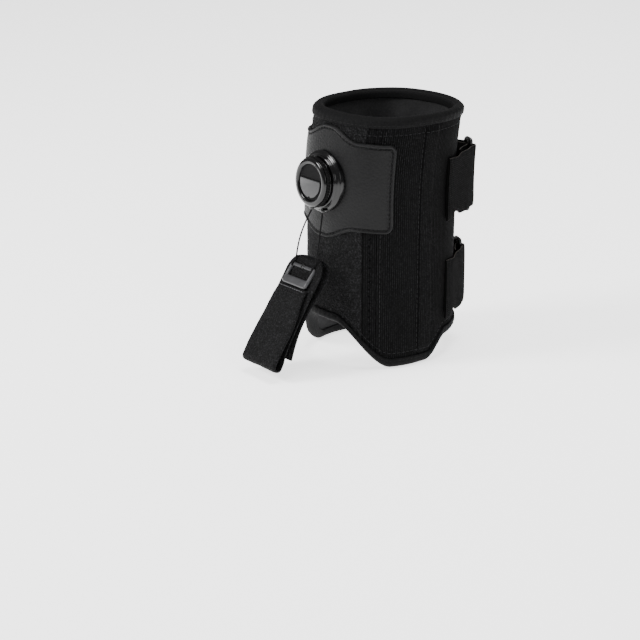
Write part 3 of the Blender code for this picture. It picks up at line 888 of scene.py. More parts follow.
def make_shell():
    front = panel("front_pile", -FRONT_SEAM, FRONT_SEAM, 0.0,
                  0.55, 0.62, pile_relief, 0.5)
    dress(front, PILE, "cuff", "pile", "front_panel")
    heel = panel("heel_knit", HEEL_SEAM, 360.0 - HEEL_SEAM, 0.0,
                 0.45, 2.4, heel_relief, 0.5)
    dress(heel, KNIT, "cuff", "knit", "heel_panel")
    for side, sign in (("left", 1.0), ("right", -1.0)):
        start, end = sorted((sign * (FRONT_SEAM + 0.4), sign * SIDE_SEAM))
        strip = panel("mesh_knit_" + side, start, end, -0.25,
                      0.36, 0.5, mesh_relief, 0.4)
        dress(strip, KNIT, "cuff", "knit", "mesh_strip_" + side)
        start, end = sorted((sign * (SIDE_SEAM + 0.4), sign * (HEEL_SEAM - 0.4)))
        side_panel = panel("side_knit_" + side, start, end, 0.1,
                           0.31, 1.5, side_relief, 0.6)
        dress(side_panel, KNIT, "cuff", "knit", "side_panel_" + side)


def make_cuff_stitching():
    """Upright rows beside the stays and the side seams, and one row along each bound edge."""
    lines = []
    for sign in (1.0, -1.0):
        for seam in SIDE_STITCHES:
            z = np.linspace(lower_edge(seam) + 7.0, RIM_Z - 8.0, 160)
            angles = np.full(len(z), sign * seam)
            lines.append(on_cuff(angles, z, stay_bulge(angles, z) - 0.15))
    around = np.arange(-179.0, 180.0, 1.0)
    for heights in (upper_edge(around) - TOP_ROW, lower_edge(around) + BOTTOM_ROW):
        lines.append(on_cuff(around, heights, stay_bulge(around, heights) - 0.1))
    paths, normals = zip(*lines)
    rows = stitches("cuff_stitching", paths, normals, 2.6, 0.9, 0.20)
    dress(rows, CUFF_THREAD, "cuff", "knit")


def binding_profile():
    """The tape's section: (offset from the cuff's face, rise from the edge), thick and rolled."""
    depth = SHELL_THICK + GAP + LINER_THICK
    out = GAP + BINDING_THICK
    outline = ((0.12, -BINDING_WIDE), (out * 0.72, -BINDING_WIDE - 0.05), (out, -BINDING_WIDE + 0.6),
               (out + 0.12, -2.2), (out - 0.15, SKIRT - 2.3), (-0.9, SKIRT - 0.5), (-2.4, SKIRT - 0.02),
               (-depth + 2.2, SKIRT - 0.1), (-depth + 0.6, SKIRT - 0.8), (-depth - out + 0.2, SKIRT - 2.6),
               (-depth - out, -BINDING_WIDE + 0.4), (-depth - 0.2, -BINDING_WIDE), (-depth - 0.15, -0.6),
               (0.1, -0.6))
    return fillet(outline, 0.9, closed=True, steps=3)


def make_binding_tape(name, node, edge, sign):
    outline = binding_profile()
    angles = np.linspace(-180.0, 180.0, 300, endpoint=False)
    rows = []
    for angle in angles:
        height = edge(angle)
        z = height + sign * outline[:, 1]
        pucker = 0.10 * math.sin(math.radians(angle) * 67.0) * (outline[:, 0] > 0.5)
        rows.append(cuff(angle, z, outline[:, 0] + drape(angle, height) + pucker))
    rows = np.array(rows)
    count, length = rows.shape[:2]
    reach = reach_along(outline)
    verts = rows.reshape(-1, 3)
    faces, uvs = [], []
    for i in range(count):
        k = (i + 1) % count
        u0 = arc_of(angles[i]) / 100.0
        u1 = u0 + 0.01 * 360.0 / count * 0.85
        for j in range(length):
            n = (j + 1) % length
            faces.append((i * length + j, k * length + j, k * length + n, i * length + n))
            v0, v1 = reach[j] / 100.0, (reach[n] if n else reach[-1] + 0.5) / 100.0
            uvs += [(u0, v0), (u1, v0), (u1, v1), (u0, v1)]
    tape = mesh_object(name, verts, faces, uvs)
    face_outward(tape)
    dress(tape, BINDING, "cuff", "binding", node)
    around = np.arange(-179.5, 180.0, 1.0)
    heights = edge(around) - sign * (BINDING_WIDE - 1.6)
    points = cuff(around, heights, GAP + BINDING_THICK + 0.02 + drape(around, heights))
    out = unit_rows(cuff(around, heights, 5.0) - cuff(around, heights, 0.0))
    rows = stitches(name + "_thread", [points], [out], 2.4, 0.8, 0.18)
    dress(rows, THREAD, "cuff", "binding")


make_liner()
make_shell()
make_cuff_stitching()
make_binding_tape("binding_top_tape", "binding_top", upper_edge, 1.0)
make_binding_tape("binding_bottom_tape", "binding_bottom", lower_edge, -1.0)

# ------------------------------------------------------------------ leather patch


def corner_loss(angle):
    t = np.clip((np.abs(angle) - (LEATHER_EDGE - CORNER_TURN)) / CORNER_TURN, 0.0, 1.0)
    return CORNER_DROP * (1.0 - np.sqrt(np.clip(1.0 - t * t, 0.0, 1.0)))


def patch_top(angle):
    dip = 8.5 * smooth_step(np.abs(angle), 3.0, 30.0) + 1.0 * smooth_step(np.abs(angle), 30.0, 54.0)
    return 166.0 - dip - corner_loss(angle)


def patch_bottom(angle):
    lift = 7.5 * smooth_step(np.abs(angle), 4.0, 30.0) - 1.0 * smooth_step(np.abs(angle), 34.0, 54.0)
    return 89.5 + lift + corner_loss(angle)


RIM_INSET = 2.6


def patch_outline(inset, count):
    """The patch's edge moved in by inset, as (angle, z) pairs, evenly spaced."""
    top = np.linspace(-LEATHER_EDGE, LEATHER_EDGE, 600)
    back = top[::-1]
    edge = np.concatenate([np.stack([top, patch_top(top)], 1), np.stack([back, patch_bottom(back)], 1)])
    flat = np.stack([arc_of(edge[:, 0]), edge[:, 1]], 1)
    closed = np.concatenate([flat, flat[:1]])
    reach = reach_along(closed)
    at = np.linspace(0.0, reach[-1], count, endpoint=False)
    even = np.stack([np.interp(at, reach, closed[:, a]) for a in (0, 1)], 1)
    run = unit_rows(np.roll(even, -2, axis=0) - np.roll(even, 2, axis=0))
    inward = np.stack([run[:, 1], -run[:, 0]], 1)
    for _ in range(6):
        inward = unit_rows(inward + np.roll(inward, 1, axis=0) + np.roll(inward, -1, axis=0))
    moved = even + inward * inset
    return np.stack([angle_at(moved[:, 0]), moved[:, 1]], 1)


def leather_height(distance):
    """Face height by distance from the cut edge: a rolled rim, a stitched groove, then the flat."""
    edge = np.sqrt(np.clip(1.0 - (1.0 - np.clip(distance / 0.9, 0.0, 1.0)) ** 2, 0.0, 1.0))
    rim = 0.45 * np.exp(-((distance - 1.1) / 0.8) ** 2)
    line = -0.55 * np.exp(-((distance - RIM_INSET) / 0.45) ** 2)
    return LEATHER_THICK * (edge - 1.0) + rim + line


def make_leather_patch():
    """Concentric rows from the edge to the middle keep the rim even all round."""
    count = 480
    insets = np.concatenate([np.arange(0.0, 4.2, 0.2), np.array([4.8, 6.0])])
    rows = [patch_outline(d, count) for d in insets]
    distances = list(insets)
    last = rows[-1]
    steps = 16
    spine = np.stack([last[:, 0] * 0.16, 127.0 + (last[:, 1] - 127.0) * 0.04], 1)
    for k in range(1, steps + 1):
        t = k / steps
        rows.append(last * (1 - t) + spine * t)
        distances.append(20.0)
    outer, inner = [], []
    for row, distance in zip(rows, distances):
        angle, z = row[:, 0], row[:, 1]
        soft = 0.10 * np.sin(angle / 9.0 + z / 13.0) * smooth_step(distance, 3.0, 10.0)
        base = drape(angle, z) + GAP + LEATHER_THICK
        outer.append(cuff(angle, z, base + leather_height(distance) + soft))
        inner.append(cuff(angle, z, base - LEATHER_THICK - 0.02))
    faces, uvs = [], []
    layers = len(rows)
    flat = [np.stack([arc_of(r[:, 0]), r[:, 1]], 1) / 100.0 for r in rows]
    verts = np.concatenate(outer + inner)
    shift = layers * count
    for k in range(layers - 1):
        for j in range(count):
            n = (j + 1) % count
            quad = (k * count + j, k * count + n, (k + 1) * count + n, (k + 1) * count + j)
            corners = (flat[k][j], flat[k][n], flat[k + 1][n], flat[k + 1][j])
            faces.append(quad[::-1])
            uvs += corners[::-1]
            faces.append(tuple(v + shift for v in quad))
            uvs += corners
    for j in range(count):
        n = (j + 1) % count
        faces.append((j + shift, n + shift, n, j)[::-1])
        uvs += [flat[0][j], flat[0][n], flat[0][n], flat[0][j]]
    patch = mesh_object("leather_dial_patch", verts, faces, uvs)
    bm = bmesh.new()
    bm.from_mesh(patch.data)
    bmesh.ops.remove_doubles(bm, verts=bm.verts, dist=0.000002)
    rim_loops = [e for e in bm.edges if e.is_boundary]
    bmesh.ops.holes_fill(bm, edges=rim_loops, sides=0)
    bmesh.ops.recalc_face_normals(bm, faces=bm.faces)
    bm.to_mesh(patch.data)
    bm.free()
    dress(patch, LEATHER, "cuff", "leather", "leather_patch")
    paths, normals = [], []
    outline = patch_outline(RIM_INSET, 900)
    closed = np.concatenate([outline, outline[:1]])
    points, out = on_cuff(closed[:, 0], closed[:, 1], GAP + LEATHER_THICK - 0.38)
    paths.append(points)
    normals.append(out)
    for sign in (1.0, -1.0):
        z = np.linspace(patch_bottom(54.0) + 3.0, patch_top(54.0) - 3.0, 120)
        points, out = on_cuff(np.full(120, sign * 55.2), z, GAP + LEATHER_THICK - 0.12)
        paths.append(points)
        normals.append(out)
    rows = stitches("leather_stitching", paths, normals, 2.1, 0.9, 0.42)
    dress(rows, THREAD, "cuff", "leather")


make_leather_patch()

# ------------------------------------------------------------------ dial


def band_wave(turn, count):
    """A knurl: rounded ridges with narrow valleys, from 0 to 1."""
    return np.abs(np.cos(turn * count / 2.0)) ** 0.6


def leather_floor(radius, turn):
    """Height of the leather under a point of the dial, along the dial's axis."""
    spread = (radius * math.cos(turn), radius * math.sin(turn))
    z = DIAL_POINT[2] + spread[1]
    x = DIAL_POINT[0] + spread[0] - AXIS_X
    deep = HALF_DEEP + FLARE_DEEP * flare_of(z) + GAP * 2 + LEATHER_THICK
    wide = HALF_WIDE + FLARE_WIDE * flare_of(z) + GAP * 2 + LEATHER_THICK
    share = (1.0 - abs(x / wide) ** SECTION_POWER) ** (1.0 / SECTION_POWER)
    y = AXIS_Y + FLARE_BACK * flare_of(z) - deep * share
    local = np.linalg.inv(DIAL) @ np.array((DIAL_POINT[0] + spread[0], y, z, 1.0))
    return local[2]


BASE_RADIUS, SPOOL_WALL = 21.0, 14.9


def make_dial_base():
    """Flared ring that sits on the leather, with a wall round the spool."""
    profile = fillet(((15.2, 1.5), (15.2, 4.6), (17.5, 4.6), (18.1, 4.2), (18.3, 2.9), (18.9, 2.2),
                      (20.4, 1.55), (BASE_RADIUS, 0.95), (BASE_RADIUS, -8.0)), 0.45, steps=4)
    turns = np.linspace(0.0, TAU, 160, endpoint=False)
    verts = []
    for turn in turns:
        floor = leather_floor(BASE_RADIUS, turn)
        for r, h in profile:
            height = floor if h < -4.0 else max(h, floor + 0.25 + 0.05 * (BASE_RADIUS - r))
            verts.append((r * math.cos(turn), r * math.sin(turn), height))
        under = leather_floor(SPOOL_WALL, turn)
        verts.append((SPOOL_WALL * math.cos(turn), SPOOL_WALL * math.sin(turn), under))
    rows = len(profile) + 1
    faces = quads(len(turns), rows, loop=False)
    centre = len(verts)
    verts.append((0.0, 0.0, 1.5))
    verts.append((0.0, 0.0, leather_floor(0.0, 0.0)))
    for i in range(len(turns)):
        k = (i + 1) % len(turns)
        faces.append((i * rows, k * rows, centre))
        faces.append((i * rows + rows - 1, k * rows + rows - 1, centre + 1))
    base = mesh_object("dial_base_ring", to_dial(verts), faces)
    clean(base, 0.000005)
    for side in (1.0, -1.0):
        cut_box(base, (2.6, 9.0, 1.8), (side * PORT_X, -18.5, 3.1))
    base.data.shade_smooth()
    base.data.set_sharp_from_angle(angle=math.radians(38))
    dress(base, GLOSS, "cuff", "plastic", "dial_base")


def cut_box(solid, size, centre, turn=0.0):
    """Cut a box out of a piece, placed in the dial's own frame and turned about the dial's axis."""
    bpy.ops.mesh.primitive_cube_add(size=1.0)
    cutter = bpy.context.object
    dial = Matrix.Translation(Vector(DIAL_POINT * MM)) @ dial_matrix().to_3x3().to_4x4()
    cutter.matrix_world = (dial @ Matrix.Translation(Vector(centre) * MM) @ Matrix.Rotation(turn, 4, "Z")
                           @ Matrix.Diagonal(Vector((*size, 1.0 / MM)) * MM))
    difference = solid.modifiers.new("cut", "BOOLEAN")
    difference.object = cutter
    difference.operation = "DIFFERENCE"
    difference.solver = "EXACT"
    bpy.context.view_layer.objects.active = solid
    bpy.ops.object.modifier_apply(modifier=difference.name)
    bpy.data.objects.remove(cutter, do_unlink=True)


def soft_box(name, size, centre, radius, steps, place):
    """A box with rounded edges; place(points) takes its corners from millimetres to the frame."""
    bm = bmesh.new()
    bmesh.ops.create_cube(bm, size=1.0)
    bmesh.ops.scale(bm, vec=size, verts=bm.verts)
    bmesh.ops.bevel(bm, geom=list(bm.edges), offset=radius, segments=steps, affect="EDGES", profile=0.5)
    bmesh.ops.translate(bm, vec=centre, verts=bm.verts)
    verts = [tuple(v.co) for v in bm.verts]
    bm.verts.index_update()
    faces = [[v.index for v in f.verts] for f in bm.faces]
    bm.free()
    box = mesh_object(name, place(verts), faces)
    clean(box, 0.000005)
    return box


def make_lugs():
    """Cord eyelets: a short rounded funnel round each cord where it leaves the base."""
    for side, sign in (("left", 1.0), ("right", -1.0)):
        rings, sides = [], 28
        outline = ((1.45, -1.15), (1.75, -0.55), (1.8, 0.2), (1.65, 0.6), (1.45, 0.72), (1.2, 0.6),
                   (0.95, 0.0), (0.85, -1.15))
        outline = fillet(outline, 0.3, closed=True, steps=3)
        for turn in np.linspace(0.0, TAU, sides, endpoint=False):
            wide = 1.3
            for r, run in outline:
                rings.append((sign * PORT_X + r * wide * math.cos(turn), -19.3 - run * 1.05,
                              3.3 + r * 0.62 * math.sin(turn)))
        lug = mesh_object("cord_eyelet_" + side, to_dial(rings), quads(sides, len(outline)))
        clean(lug, 0.000005)
        dress(lug, SATIN, "cuff", "plastic", "cord_guide_" + side)


def make_knob():
    grip_wave = lambda turn, r, h: np.where(r > 16.4, -0.55 * (1.0 - band_wave(turn, 52)), 0.0)
    outline = ((16.1, 6.4), (16.9, 6.35), (17.3, 6.7), (17.35, 8.8), (17.0, 9.15), (16.1, 9.1))
    grip = lathe("knob_grip_band", outline, 520, 0.25, grip_wave)
    dress(grip, RUBBER, "knob", "grip", "knob_grip")
    shell = lathe("knob_cap", (
        (0.0, 8.5), (15.3, 8.5), (15.3, 5.0), (15.9, 5.0), (16.1, 5.4), (15.85, 5.7), (16.15, 6.0),
        (15.85, 6.3), (15.8, 9.2), (16.35, 9.35), (16.62, 9.75), (16.5, 10.25), (15.6, 10.95), (14.2, 11.3),
        (13.3, 11.25),
        (12.55, 10.95), (12.2, 10.3), (12.15, 9.9), (11.2, 9.9), (0.0, 9.9)), 160, 0.32, closed=False)
    hole_marks(shell)
    dress(shell, GLOSS, "knob", "plastic", "knob_shell")
    darken_recess(shell)
    plate = make_badge()
    dress(plate, PLATE, "knob", "plastic", "knob_badge")


def darken_recess(shell):
    """The sunk floor round the plate is matt, the raised rim polished."""
    shell.data.materials.append(RUBBER)
    inverse = np.linalg.inv(DIAL)
    for face in shell.data.polygons:
        x, y, z = face.center
        local = inverse @ np.array((x / MM, y / MM, z / MM, 1.0))
        face.material_index = int(math.hypot(local[0], local[1]) < 12.3 and local[2] > 9.0)


def hole_marks(shell):
    """Two shallow slots in the rim, for taking the cap off."""
    for degrees, size in ((60.0, (2.6, 1.0, 1.0)), (250.0, (2.2, 0.9, 1.0))):
        angle = math.radians(degrees)
        centre = (13.6 * math.cos(angle), 13.6 * math.sin(angle), 11.3)
        cut_box(shell, size, centre, angle + math.radians(90.0))
    shell.data.shade_smooth()
    shell.data.set_sharp_from_angle(angle=math.radians(38))


def make_badge():
    """A flat D-shaped plate on the knob's face, cut off above by a chord, with a small notch below."""
    radius, chord, steps = 10.6, 2.0, 90
    start = math.asin(chord / radius)
    turns = np.linspace(start, -math.pi - start, steps)
    outline = [(radius * math.cos(t), radius * math.sin(t)) for t in turns]
    notch = []
    for x, y in outline:
        dip = 1.1 * math.exp(-((x / 0.9) ** 4)) if y < 0.0 else 0.0
        notch.append((x, y + dip))
    edge = fillet(notch, 0.3, closed=True, steps=2)
    levels = ((0.0, 10.15), (0.0, 10.7), (0.12, 10.84), (0.32, 10.9))
    verts = []
    for inset, h in levels:
        for x, y in edge:
            size = math.hypot(x, y)
            verts.append((x - x / max(size, 0.1) * inset, y - (y + 4.0) / 10.0 * inset, h))
    count = len(edge)
    faces = []
    for level in range(len(levels) - 1):
        for j in range(count):
            n = (j + 1) % count
            here, above = level * count, (level + 1) * count
            faces.append((here + j, here + n, above + n, above + j))
    faces.append(tuple(range(count)))
    faces.append(tuple(range((len(levels) - 1) * count, len(levels) * count))[::-1])
    plate = mesh_object("knob_badge_plate", to_dial(verts), faces)
    clean(plate, 0.000005)
    plate.data.set_sharp_from_angle(angle=math.radians(20))
    return plate


make_dial_base()
make_lugs()
make_knob()

# ------------------------------------------------------------------ buckle and lace strap


def to_buckle(points):
    points = np.asarray(points, float)
    return (BUCKLE_TOP + points[..., :1] * np.array((1.0, 0.0, 0.0)) + points[..., 1:2] * BUCKLE_DOWN
            + points[..., 2:3] * BUCKLE_OUT)


BUCKLE_LONG = np.linalg.norm(BUCKLE_BOTTOM - BUCKLE_TOP)


def rounded_loop(half_wide, low, high, radius):
    """A rounded rectangle in the buckle's plane."""
    corners = ((half_wide, low), (half_wide, high), (-half_wide, high), (-half_wide, low))
    return fillet(corners, radius, closed=True, steps=8)


def make_buckle():
    """Frame with a thin split top bar for the cords and a broad bevelled lower bar for the strap."""
    half = BUCKLE_WIDE / 2.0
    low, high = -1.7, BUCKLE_LONG + 2.9
    rings = (
        (rounded_loop(half - 0.5, low + 0.5, high - 0.5, 2.6), -1.2),
        (rounded_loop(half, low, high, 3.0), -0.7),
        (rounded_loop(half, low, high, 3.0), 0.5),
        (rounded_loop(half - 0.7, low + 0.6, high - 0.8, 2.6), 1.2),
        (rounded_loop(half - 1.9, 0.35, high - 5.4, 1.6), 1.15),
        (rounded_loop(half - 2.4, 0.75, high - 6.0, 1.4), 0.4),
        (rounded_loop(half - 2.4, 0.75, high - 6.0, 1.4), -0.7),
        (rounded_loop(half - 2.0, 0.4, high - 5.5, 1.6), -1.2))
    verts = np.concatenate([np.concatenate([loop, np.full((len(loop), 1), h)], 1) for loop, h in rings])
    count = len(rings[0][0])
    faces = []
    for k in range(len(rings)):
        n = (k + 1) % len(rings)
        for j in range(count):
            m = (j + 1) % count
            faces.append((k * count + j, k * count + m, n * count + m, n * count + j))
    buckle = mesh_object("hook_buckle_frame", to_buckle(verts), faces)
    bevel = buckle.modifiers.new("soft", "BEVEL")
    bevel.width = 0.35 * MM
    bevel.segments = 2
    bevel.limit_method = "ANGLE"
    bevel.angle_limit = math.radians(28)
    bpy.context.view_layer.objects.active = buckle
    bpy.ops.object.modifier_apply(modifier=bevel.name)
    clean(buckle, 0.000003)
    buckle.data.set_sharp_from_angle(angle=math.radians(34))
    dress(buckle, BUCKLE_PLASTIC, "hook", "plastic", "hook_buckle")
    gate = soft_box("buckle_gate", (3.4, 3.2, 2.9), (0.0, -0.5, 0.1), 0.7, 3, to_buckle)
    dress(gate, SATIN, "hook", "plastic")
    for side, sign in (("left", 1.0), ("right", -1.0)):
        x = sign * CORD_EYE_X
        over_bar = ((-2.9, 0.3), (-2.2, 1.25), (-0.9, 1.6), (0.6, 1.55), (1.4, 0.9))
        path = [to_buckle((x, y, h)).ravel() for y, h in over_bar]
        wrap = tube("cord_wrap_" + side, smooth_path(path, 6), CORD_RADIUS * 0.95, 12)
        dress(wrap, BRAID, "hook", "cord")


STRAP_HALF, STRAP_THICK = 18.2, 2.0
FOLD = np.array((AXIS_X, AXIS_Y - 107.0, 8.0))
STRAP_DOWN = unit(FOLD - BUCKLE_BOTTOM)
STRAP_FACE = unit(np.cross(STRAP_DOWN, (1.0, 0.0, 0.0)))
if STRAP_FACE[1] > 0.0:
    STRAP_FACE = -STRAP_FACE


def lace_route():
    """The strap's line seen from its edge, in millimetres below the lower bar and out from it."""
    reach = np.linalg.norm(FOLD - BUCKLE_BOTTOM)
    top = -BUCKLE_LONG - 7.5
    turns = np.linspace(0.0, math.pi, 11)
    fold = [(reach - 4.6 + 2.9 * math.sin(t), -2.3 + 2.9 * math.cos(t)) for t in turns]
    turns = np.linspace(0.0, math.pi, 15)
    loop = [(top + 2.6 - 3.3 * math.sin(t), -6.2 + 3.3 * math.cos(t)) for t in turns]
    front = smooth_path(((3.8, -0.6), (14.0, 0.4), (30.0, 0.2), (46.0, 0.9), (reach - 7.0, 0.8)), 10)[:-1]
    middle = smooth_path(((reach - 9.0, -4.9), (46.0, -3.6), (28.0, -2.9), (12.0, -2.7), (0.0, -2.9),
                          (top + 9.0, -2.9), (top + 4.0, -2.9)), 8)
    back = smooth_path(((top + 5.0, -9.5), (0.0, -8.7), (14.0, -7.0), (28.0, -6.7), (40.0, -8.2),
                        (50.0, -10.4)), 8)
    return np.concatenate([front, fold, middle, loop, back])


def band_section(half, thick):
    """Outline of a woven band: flat faces, soft full edges; first value runs across the width."""
    across = np.linspace(-1.0, 1.0, 26)
    half_thick = thick / 2.0
    top = [(half * a, half_thick * (1.0 - 0.35 * abs(a) ** 14)) for a in across]
    round_edge = [(half + 0.28 * thick * math.sin(t), half_thick * 0.62 * math.cos(t))
                  for t in np.linspace(0.2, math.pi - 0.2, 5)]
    low = [(-x, -h) for x, h in top]
    other = [(-x, -h) for x, h in round_edge]
    return np.array(top + round_edge + low + other)


EDGE_TRIM = 0.35


def woven_band(name, route, normals, sides, half, thick, relief, spread=None):
    """Sweep a band's section along a route of 3-D points; sides point across its width."""
    section = band_section(half - EDGE_TRIM, thick)
    route, normals, sides = (np.asarray(a, float) for a in (route, normals, sides))
    reach = reach_along(route)
    across = np.repeat(section[None, :, 0], len(route), axis=0)
    if spread is not None:
        across = across * spread[:, None]
    up = np.repeat(section[None, :, 1], len(route), axis=0)
    run = np.repeat(reach[:, None], len(section), axis=1)
    if relief is not None:
        extra = relief(across, run, np.sign(up))
        up = up + np.sign(up) * extra * (np.abs(section[:, 0]) < half - EDGE_TRIM + 0.1)
    points = route[:, None] + across[..., None] * sides[:, None] + up[..., None] * normals[:, None]
    rows = len(section)
    faces, uvs = [], []
    around = reach_along(section)
    for i in range(len(route) - 1):
        for j in range(rows):
            n = (j + 1) % rows
            faces.append((i * rows + j, (i + 1) * rows + j, (i + 1) * rows + n, i * rows + n))
            u0, u1 = around[j] / 100.0, (around[n] if n else around[-1] + 0.4) / 100.0
            v0, v1 = reach[i] / 100.0, reach[i + 1] / 100.0
            uvs += [(u0, v0), (u0, v1), (u1, v1), (u1, v0)]
    faces.append(tuple(range(rows)))
    faces.append(tuple(range((len(route) - 1) * rows, len(route) * rows))[::-1])
    uvs += [(0.0, 0.0)] * (2 * rows)
    band = mesh_object(name, points.reshape(-1, 3), faces, uvs)
    face_outward(band)
    band.data.shade_smooth()
    band.data.set_sharp_from_angle(angle=math.radians(60))
    return band


def resample(points, step):
    points = np.asarray(points, float)
    reach = reach_along(points)
    at = np.linspace(0.0, reach[-1], max(3, int(reach[-1] / step) + 1))
    return np.stack([np.interp(at, reach, points[:, a]) for a in range(points.shape[1])], 1)


def make_lace_strap():
    plan = resample(lace_route(), 0.7)
    run = np.gradient(plan, axis=0)
    run = unit_rows(run)
    turned = np.stack([-run[:, 1], run[:, 0]], 1)
    route = BUCKLE_BOTTOM + plan[:, :1] * STRAP_DOWN + plan[:, 1:] * STRAP_FACE
    normals = turned[:, :1] * STRAP_DOWN + turned[:, 1:] * STRAP_FACE
    reach = reach_along(route)
    sway = 0.6 * np.sin(reach / 19.0 + 0.6) * smooth_step(reach, 3.0, 22.0)
    sides = np.repeat(np.array([[1.0, 0.0, 0.0]]), len(route), axis=0)
    route = route + sway[:, None] * sides

    def surface(across, at, face):
        loops = 0.24 * (hash_noise(across, at, 0.85, 4.0) + 0.6 * hash_noise(across, at, 2.1, 5.0) - 0.8)
        cup = -0.10 * np.cos(across / 17.0 * math.pi) * face
        return loops + cup

    below = plan[:, 0] - plan[:, 0].min()
    dome = np.sqrt(1.0 - (1.0 - np.clip(below / 12.0, 0.0, 1.0)) ** 2)
    from_seam = reach_along(plan)
    spread = (0.45 + 0.55 * dome) * (0.80 + 0.20 * smooth_step(from_seam, -4.0, 34.0))
    strap = woven_band("lace_strap_band", route, normals, sides, STRAP_HALF, STRAP_THICK, surface, spread)
    dress(strap, WEBBING, "hook", "webbing", "lace_strap")
    x = np.linspace(-BUCKLE_WIDE / 2.0 - 1.0, BUCKLE_WIDE / 2.0 + 1.0, 60)
    for row, (below, thread) in enumerate(((5.0, PALE_THREAD), (8.6, THREAD))):
        line = BUCKLE_BOTTOM + x[:, None] * sides[:1] + (below * STRAP_DOWN + STRAP_THICK * 0.52 * STRAP_FACE)
        out = np.repeat(STRAP_FACE[None], len(x), axis=0)
        made = stitches("lace_strap_row_%d" % row, [line], [out], 1.9, 0.5, 0.26)
        dress(made, thread, "hook", "webbing")


make_buckle()
make_lace_strap()

# ------------------------------------------------------------------ tabs, rings, closure straps

CLOSURES = (("upper", (22.0, 61.0), 96.5, 141.0), ("lower", (20.0, 56.0), 26.5, 69.5))
WEB_THICK, RING_WIRE = 2.0, 1.5
HALF_WEB = WEB_THICK / 2.0
BAR_GRIP = RING_WIRE + 0.45 + HALF_WEB
WEB_REST = GAP + HALF_WEB + 0.35


def flare_shift(z):
    return FLARE_BACK * flare_of(z)


def surface_run(start, end, offset, z):
    """A band's plan line along the cuff, seen from above."""
    points = cuff(np.linspace(start, end, 41), z, offset)
    return [(p[0], p[1]) for p in points]


def arc_points(centre, radius, start, end, count=40):
    turns = np.radians(np.linspace(start, end, count + 1))
    x, y = AXIS_X + centre[0], AXIS_Y + centre[1]
    return [(x + radius * math.cos(t), y + radius * math.sin(t)) for t in turns]


def touch_angle(point, offset, z):
    angles = np.arange(-178.0, -119.0, 1.0)
    touched = cuff(angles, z, offset)
    slopes = (touched[:, 1] - AXIS_Y - point[1]) / (point[0] - (touched[:, 0] - AXIS_X))
    return angles[int(np.argmax(slopes))]


def upright_band(name, plan, low, high, material, thick=WEB_THICK, relief=None, slump=None, gather=None):
    """A band on edge: plan is its line seen from above, slump(run, z) moves points out along its face."""
    plan = resample(plan, 0.55)
    run = unit_rows(np.gradient(plan, axis=0))
    out = np.stack([run[:, 1], -run[:, 0]], 1)
    middle = (low + high) / 2.0
    half = (high - low) / 2.0
    route = np.concatenate([plan, np.full((len(plan), 1), middle)], 1)
    normals = np.concatenate([out, np.zeros((len(plan), 1))], 1)
    sides = np.repeat(np.array([[0.0, 0.0, 1.0]]), len(plan), axis=0)
    band = woven_band(name, route, normals, sides, half - 0.6, thick, relief)
    reach = reach_along(plan)
    verts = np.empty(len(band.data.vertices) * 3)
    band.data.vertices.foreach_get("co", verts)
    verts = verts.reshape(-1, 3) / MM
    rows = len(verts) // len(plan)
    at = np.repeat(reach, rows)
    verts[:, 1] += flare_shift(verts[:, 2]) - flare_shift(middle)
    if slump is not None:
        push = slump(at, verts[:, 2], reach[-1])
        verts[:, :2] += np.repeat(out, rows, axis=0) * push[:, None]
    if gather is not None:
        verts[:, 2] = gather(at, verts[:, 2])
    band.data.vertices.foreach_set("co", (verts * MM).ravel())
    band.data.update()
    band.data.materials.append(material)
    band.data.materials.append(FELT)
    for face in band.data.polygons:
        face.material_index = int(abs(face.normal.z) > 0.75)
    return band


def ribbed(across, at, face):
    return 0.44 * (0.5 + 0.5 * np.cos(TAU * at / 2.2)) ** 0.8 - 0.34


def furred(across, at, face):
    return 0.18 * (hash_noise(across, at, 0.8, 6.0) + 0.6 * hash_noise(across, at, 2.0, 7.0) - 0.8)


def slumped(middle, half):
    """A little crumpling along the band's long edges, none at the sewn ends."""
    def push(at, z, whole):
        edge = np.abs(z - middle) / half
        rise = smooth_step(at, 6.0, 14.0) * smooth_step(whole - at, 1.0, 8.0)
        return 0.40 * edge ** 3 * np.sin(at / 2.9 + (z - middle) / 6.0) * rise
    return push


def gathered(bend, low, high):
    """Scale of a tab's height along its run: drawn in a little where it turns round the ring."""
    def scale(at, z):
        near = np.exp(-((at - bend) / 6.0) ** 2)
        middle = (low + high) / 2.0
        below, above = 4.6 * near, 1.0 * near
        share = (z - middle) / ((high - low) / 2.0)
        return z + np.where(share < 0.0, -share * below, -share * above) * np.abs(share)
    return scale


def make_ring(level, bar, second, low, high):
    low_z, high_z = low - 2.5, high + 2.5
    flat = fillet(((0.0, low_z), (0.0, high_z), (8.412, high_z), (8.412, low_z)), 2.4, closed=True, steps=10)
    along = unit(np.array(second) - np.array(bar))
    middle = (low + high) / 2.0
    path = [(AXIS_X + bar[0] + along[0] * s,
             AXIS_Y + bar[1] + along[1] * s + flare_shift(z) - flare_shift(middle), z) for s, z in flat]
    ring = tube("ring_frame_" + level, resample(path + path[:1], 0.8)[:-1], RING_WIRE, 20, closed=True)
    clean(ring, 0.000003)
    dress(ring, SATIN, "cuff", "plastic", "ring_" + level)


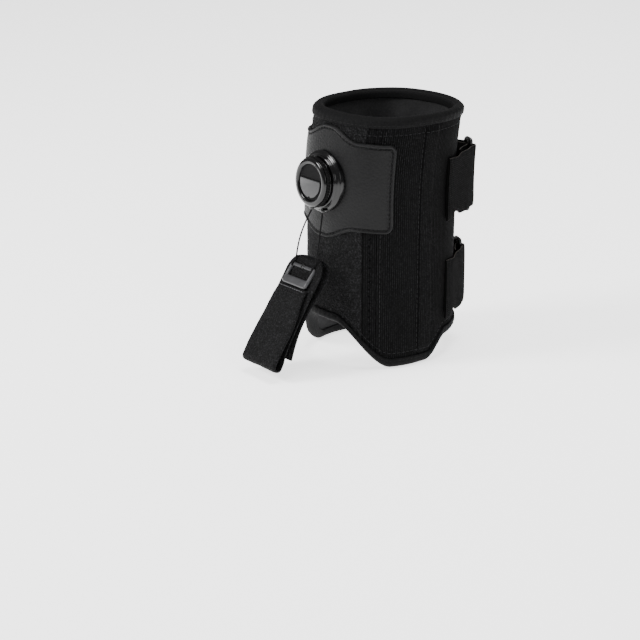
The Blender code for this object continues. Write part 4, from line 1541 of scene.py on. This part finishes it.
def make_closure(level, bar, low, high):
    middle, half = (low + high) / 2.0, (high - low) / 2.0
    second = (bar[0] - 8.0, bar[1] + 2.6)
    crumple = slumped(middle, half)
    tab = surface_run(TAB_SEAM - 1.0, TAB_SEAM + 9.0, WEB_REST, middle)
    tab += arc_points(bar, BAR_GRIP, 33.0, 228.0)
    end = cuff(TAB_SEAM + 30.0, middle, WEB_REST)
    last = tab[-1]
    tab += [((last[0] * 2 + end[0]) / 3.0, (last[1] * 2 + end[1]) / 3.0 - 1.0), (end[0], end[1])]
    start = np.array(tab[:41])
    bend = np.linalg.norm(np.diff(start, axis=0), axis=1).sum() + BAR_GRIP * 1.5
    band = upright_band("tab_band_" + level, tab, low, high, KNIT, relief=ribbed, slump=crumple,
                        gather=gathered(bend, low, high))
    dress(band, None, "cuff", "webbing", "tab_" + level)
    make_ring(level, bar, second, low, high)
    touch = touch_angle((second[0], second[1] - BAR_GRIP), WEB_REST + GAP, middle)
    strap = surface_run(-TAB_SEAM + 10.0, touch, WEB_REST, middle)
    strap += arc_points(second, BAR_GRIP, 285.0, 440.0)
    band = upright_band("strap_band_" + level, strap, low, high, WEBBING, relief=furred)
    dress(band, None, "cuff", "webbing", "strap_" + level)
    outer = WEB_THICK + 2.4
    begin = arc_points(second, BAR_GRIP, 452.0, 460.0, 1)
    flap = [begin[0], (AXIS_X + second[0] - 3.0, AXIS_Y + second[1] + BAR_GRIP - 0.2)]
    flap += surface_run(touch, -TAB_SEAM + 4.0, WEB_REST + outer + 0.6, middle)
    band = upright_band("flap_band_" + level, flap, low, high, WEBBING, relief=furred)
    dress(band, None, "flap_" + level, "webbing", "flap_" + level)
    tape = surface_run(-TAB_SEAM - 14.0, -TAB_SEAM + 2.0, WEB_REST + HALF_WEB + GAP + 0.75, middle)
    band = upright_band("hook_tape_" + level + "_pad", tape, low + 1.4, high - 1.4, HOOKS, thick=0.9)
    dress(band, None, "flap_" + level, "hook_tape", "hook_tape_" + level)


for closure in CLOSURES:
    make_closure(*closure)

# ------------------------------------------------------------------ CAD pieces that stay in view

KEPT = {
    "stay_left": STEEL, "stay_right": STEEL, "tooth_ring": SATIN, "spindle": STEEL, "spool": SATIN,
    "wound_cord": BRAID, "lift_collar": STEEL, "pawl_disc": STEEL}
for kept_name, kept_material in KEPT.items():
    kept = bpy.data.objects.get(kept_name)
    if kept is not None:
        kept.data.materials.clear()
        kept.data.materials.append(kept_material)
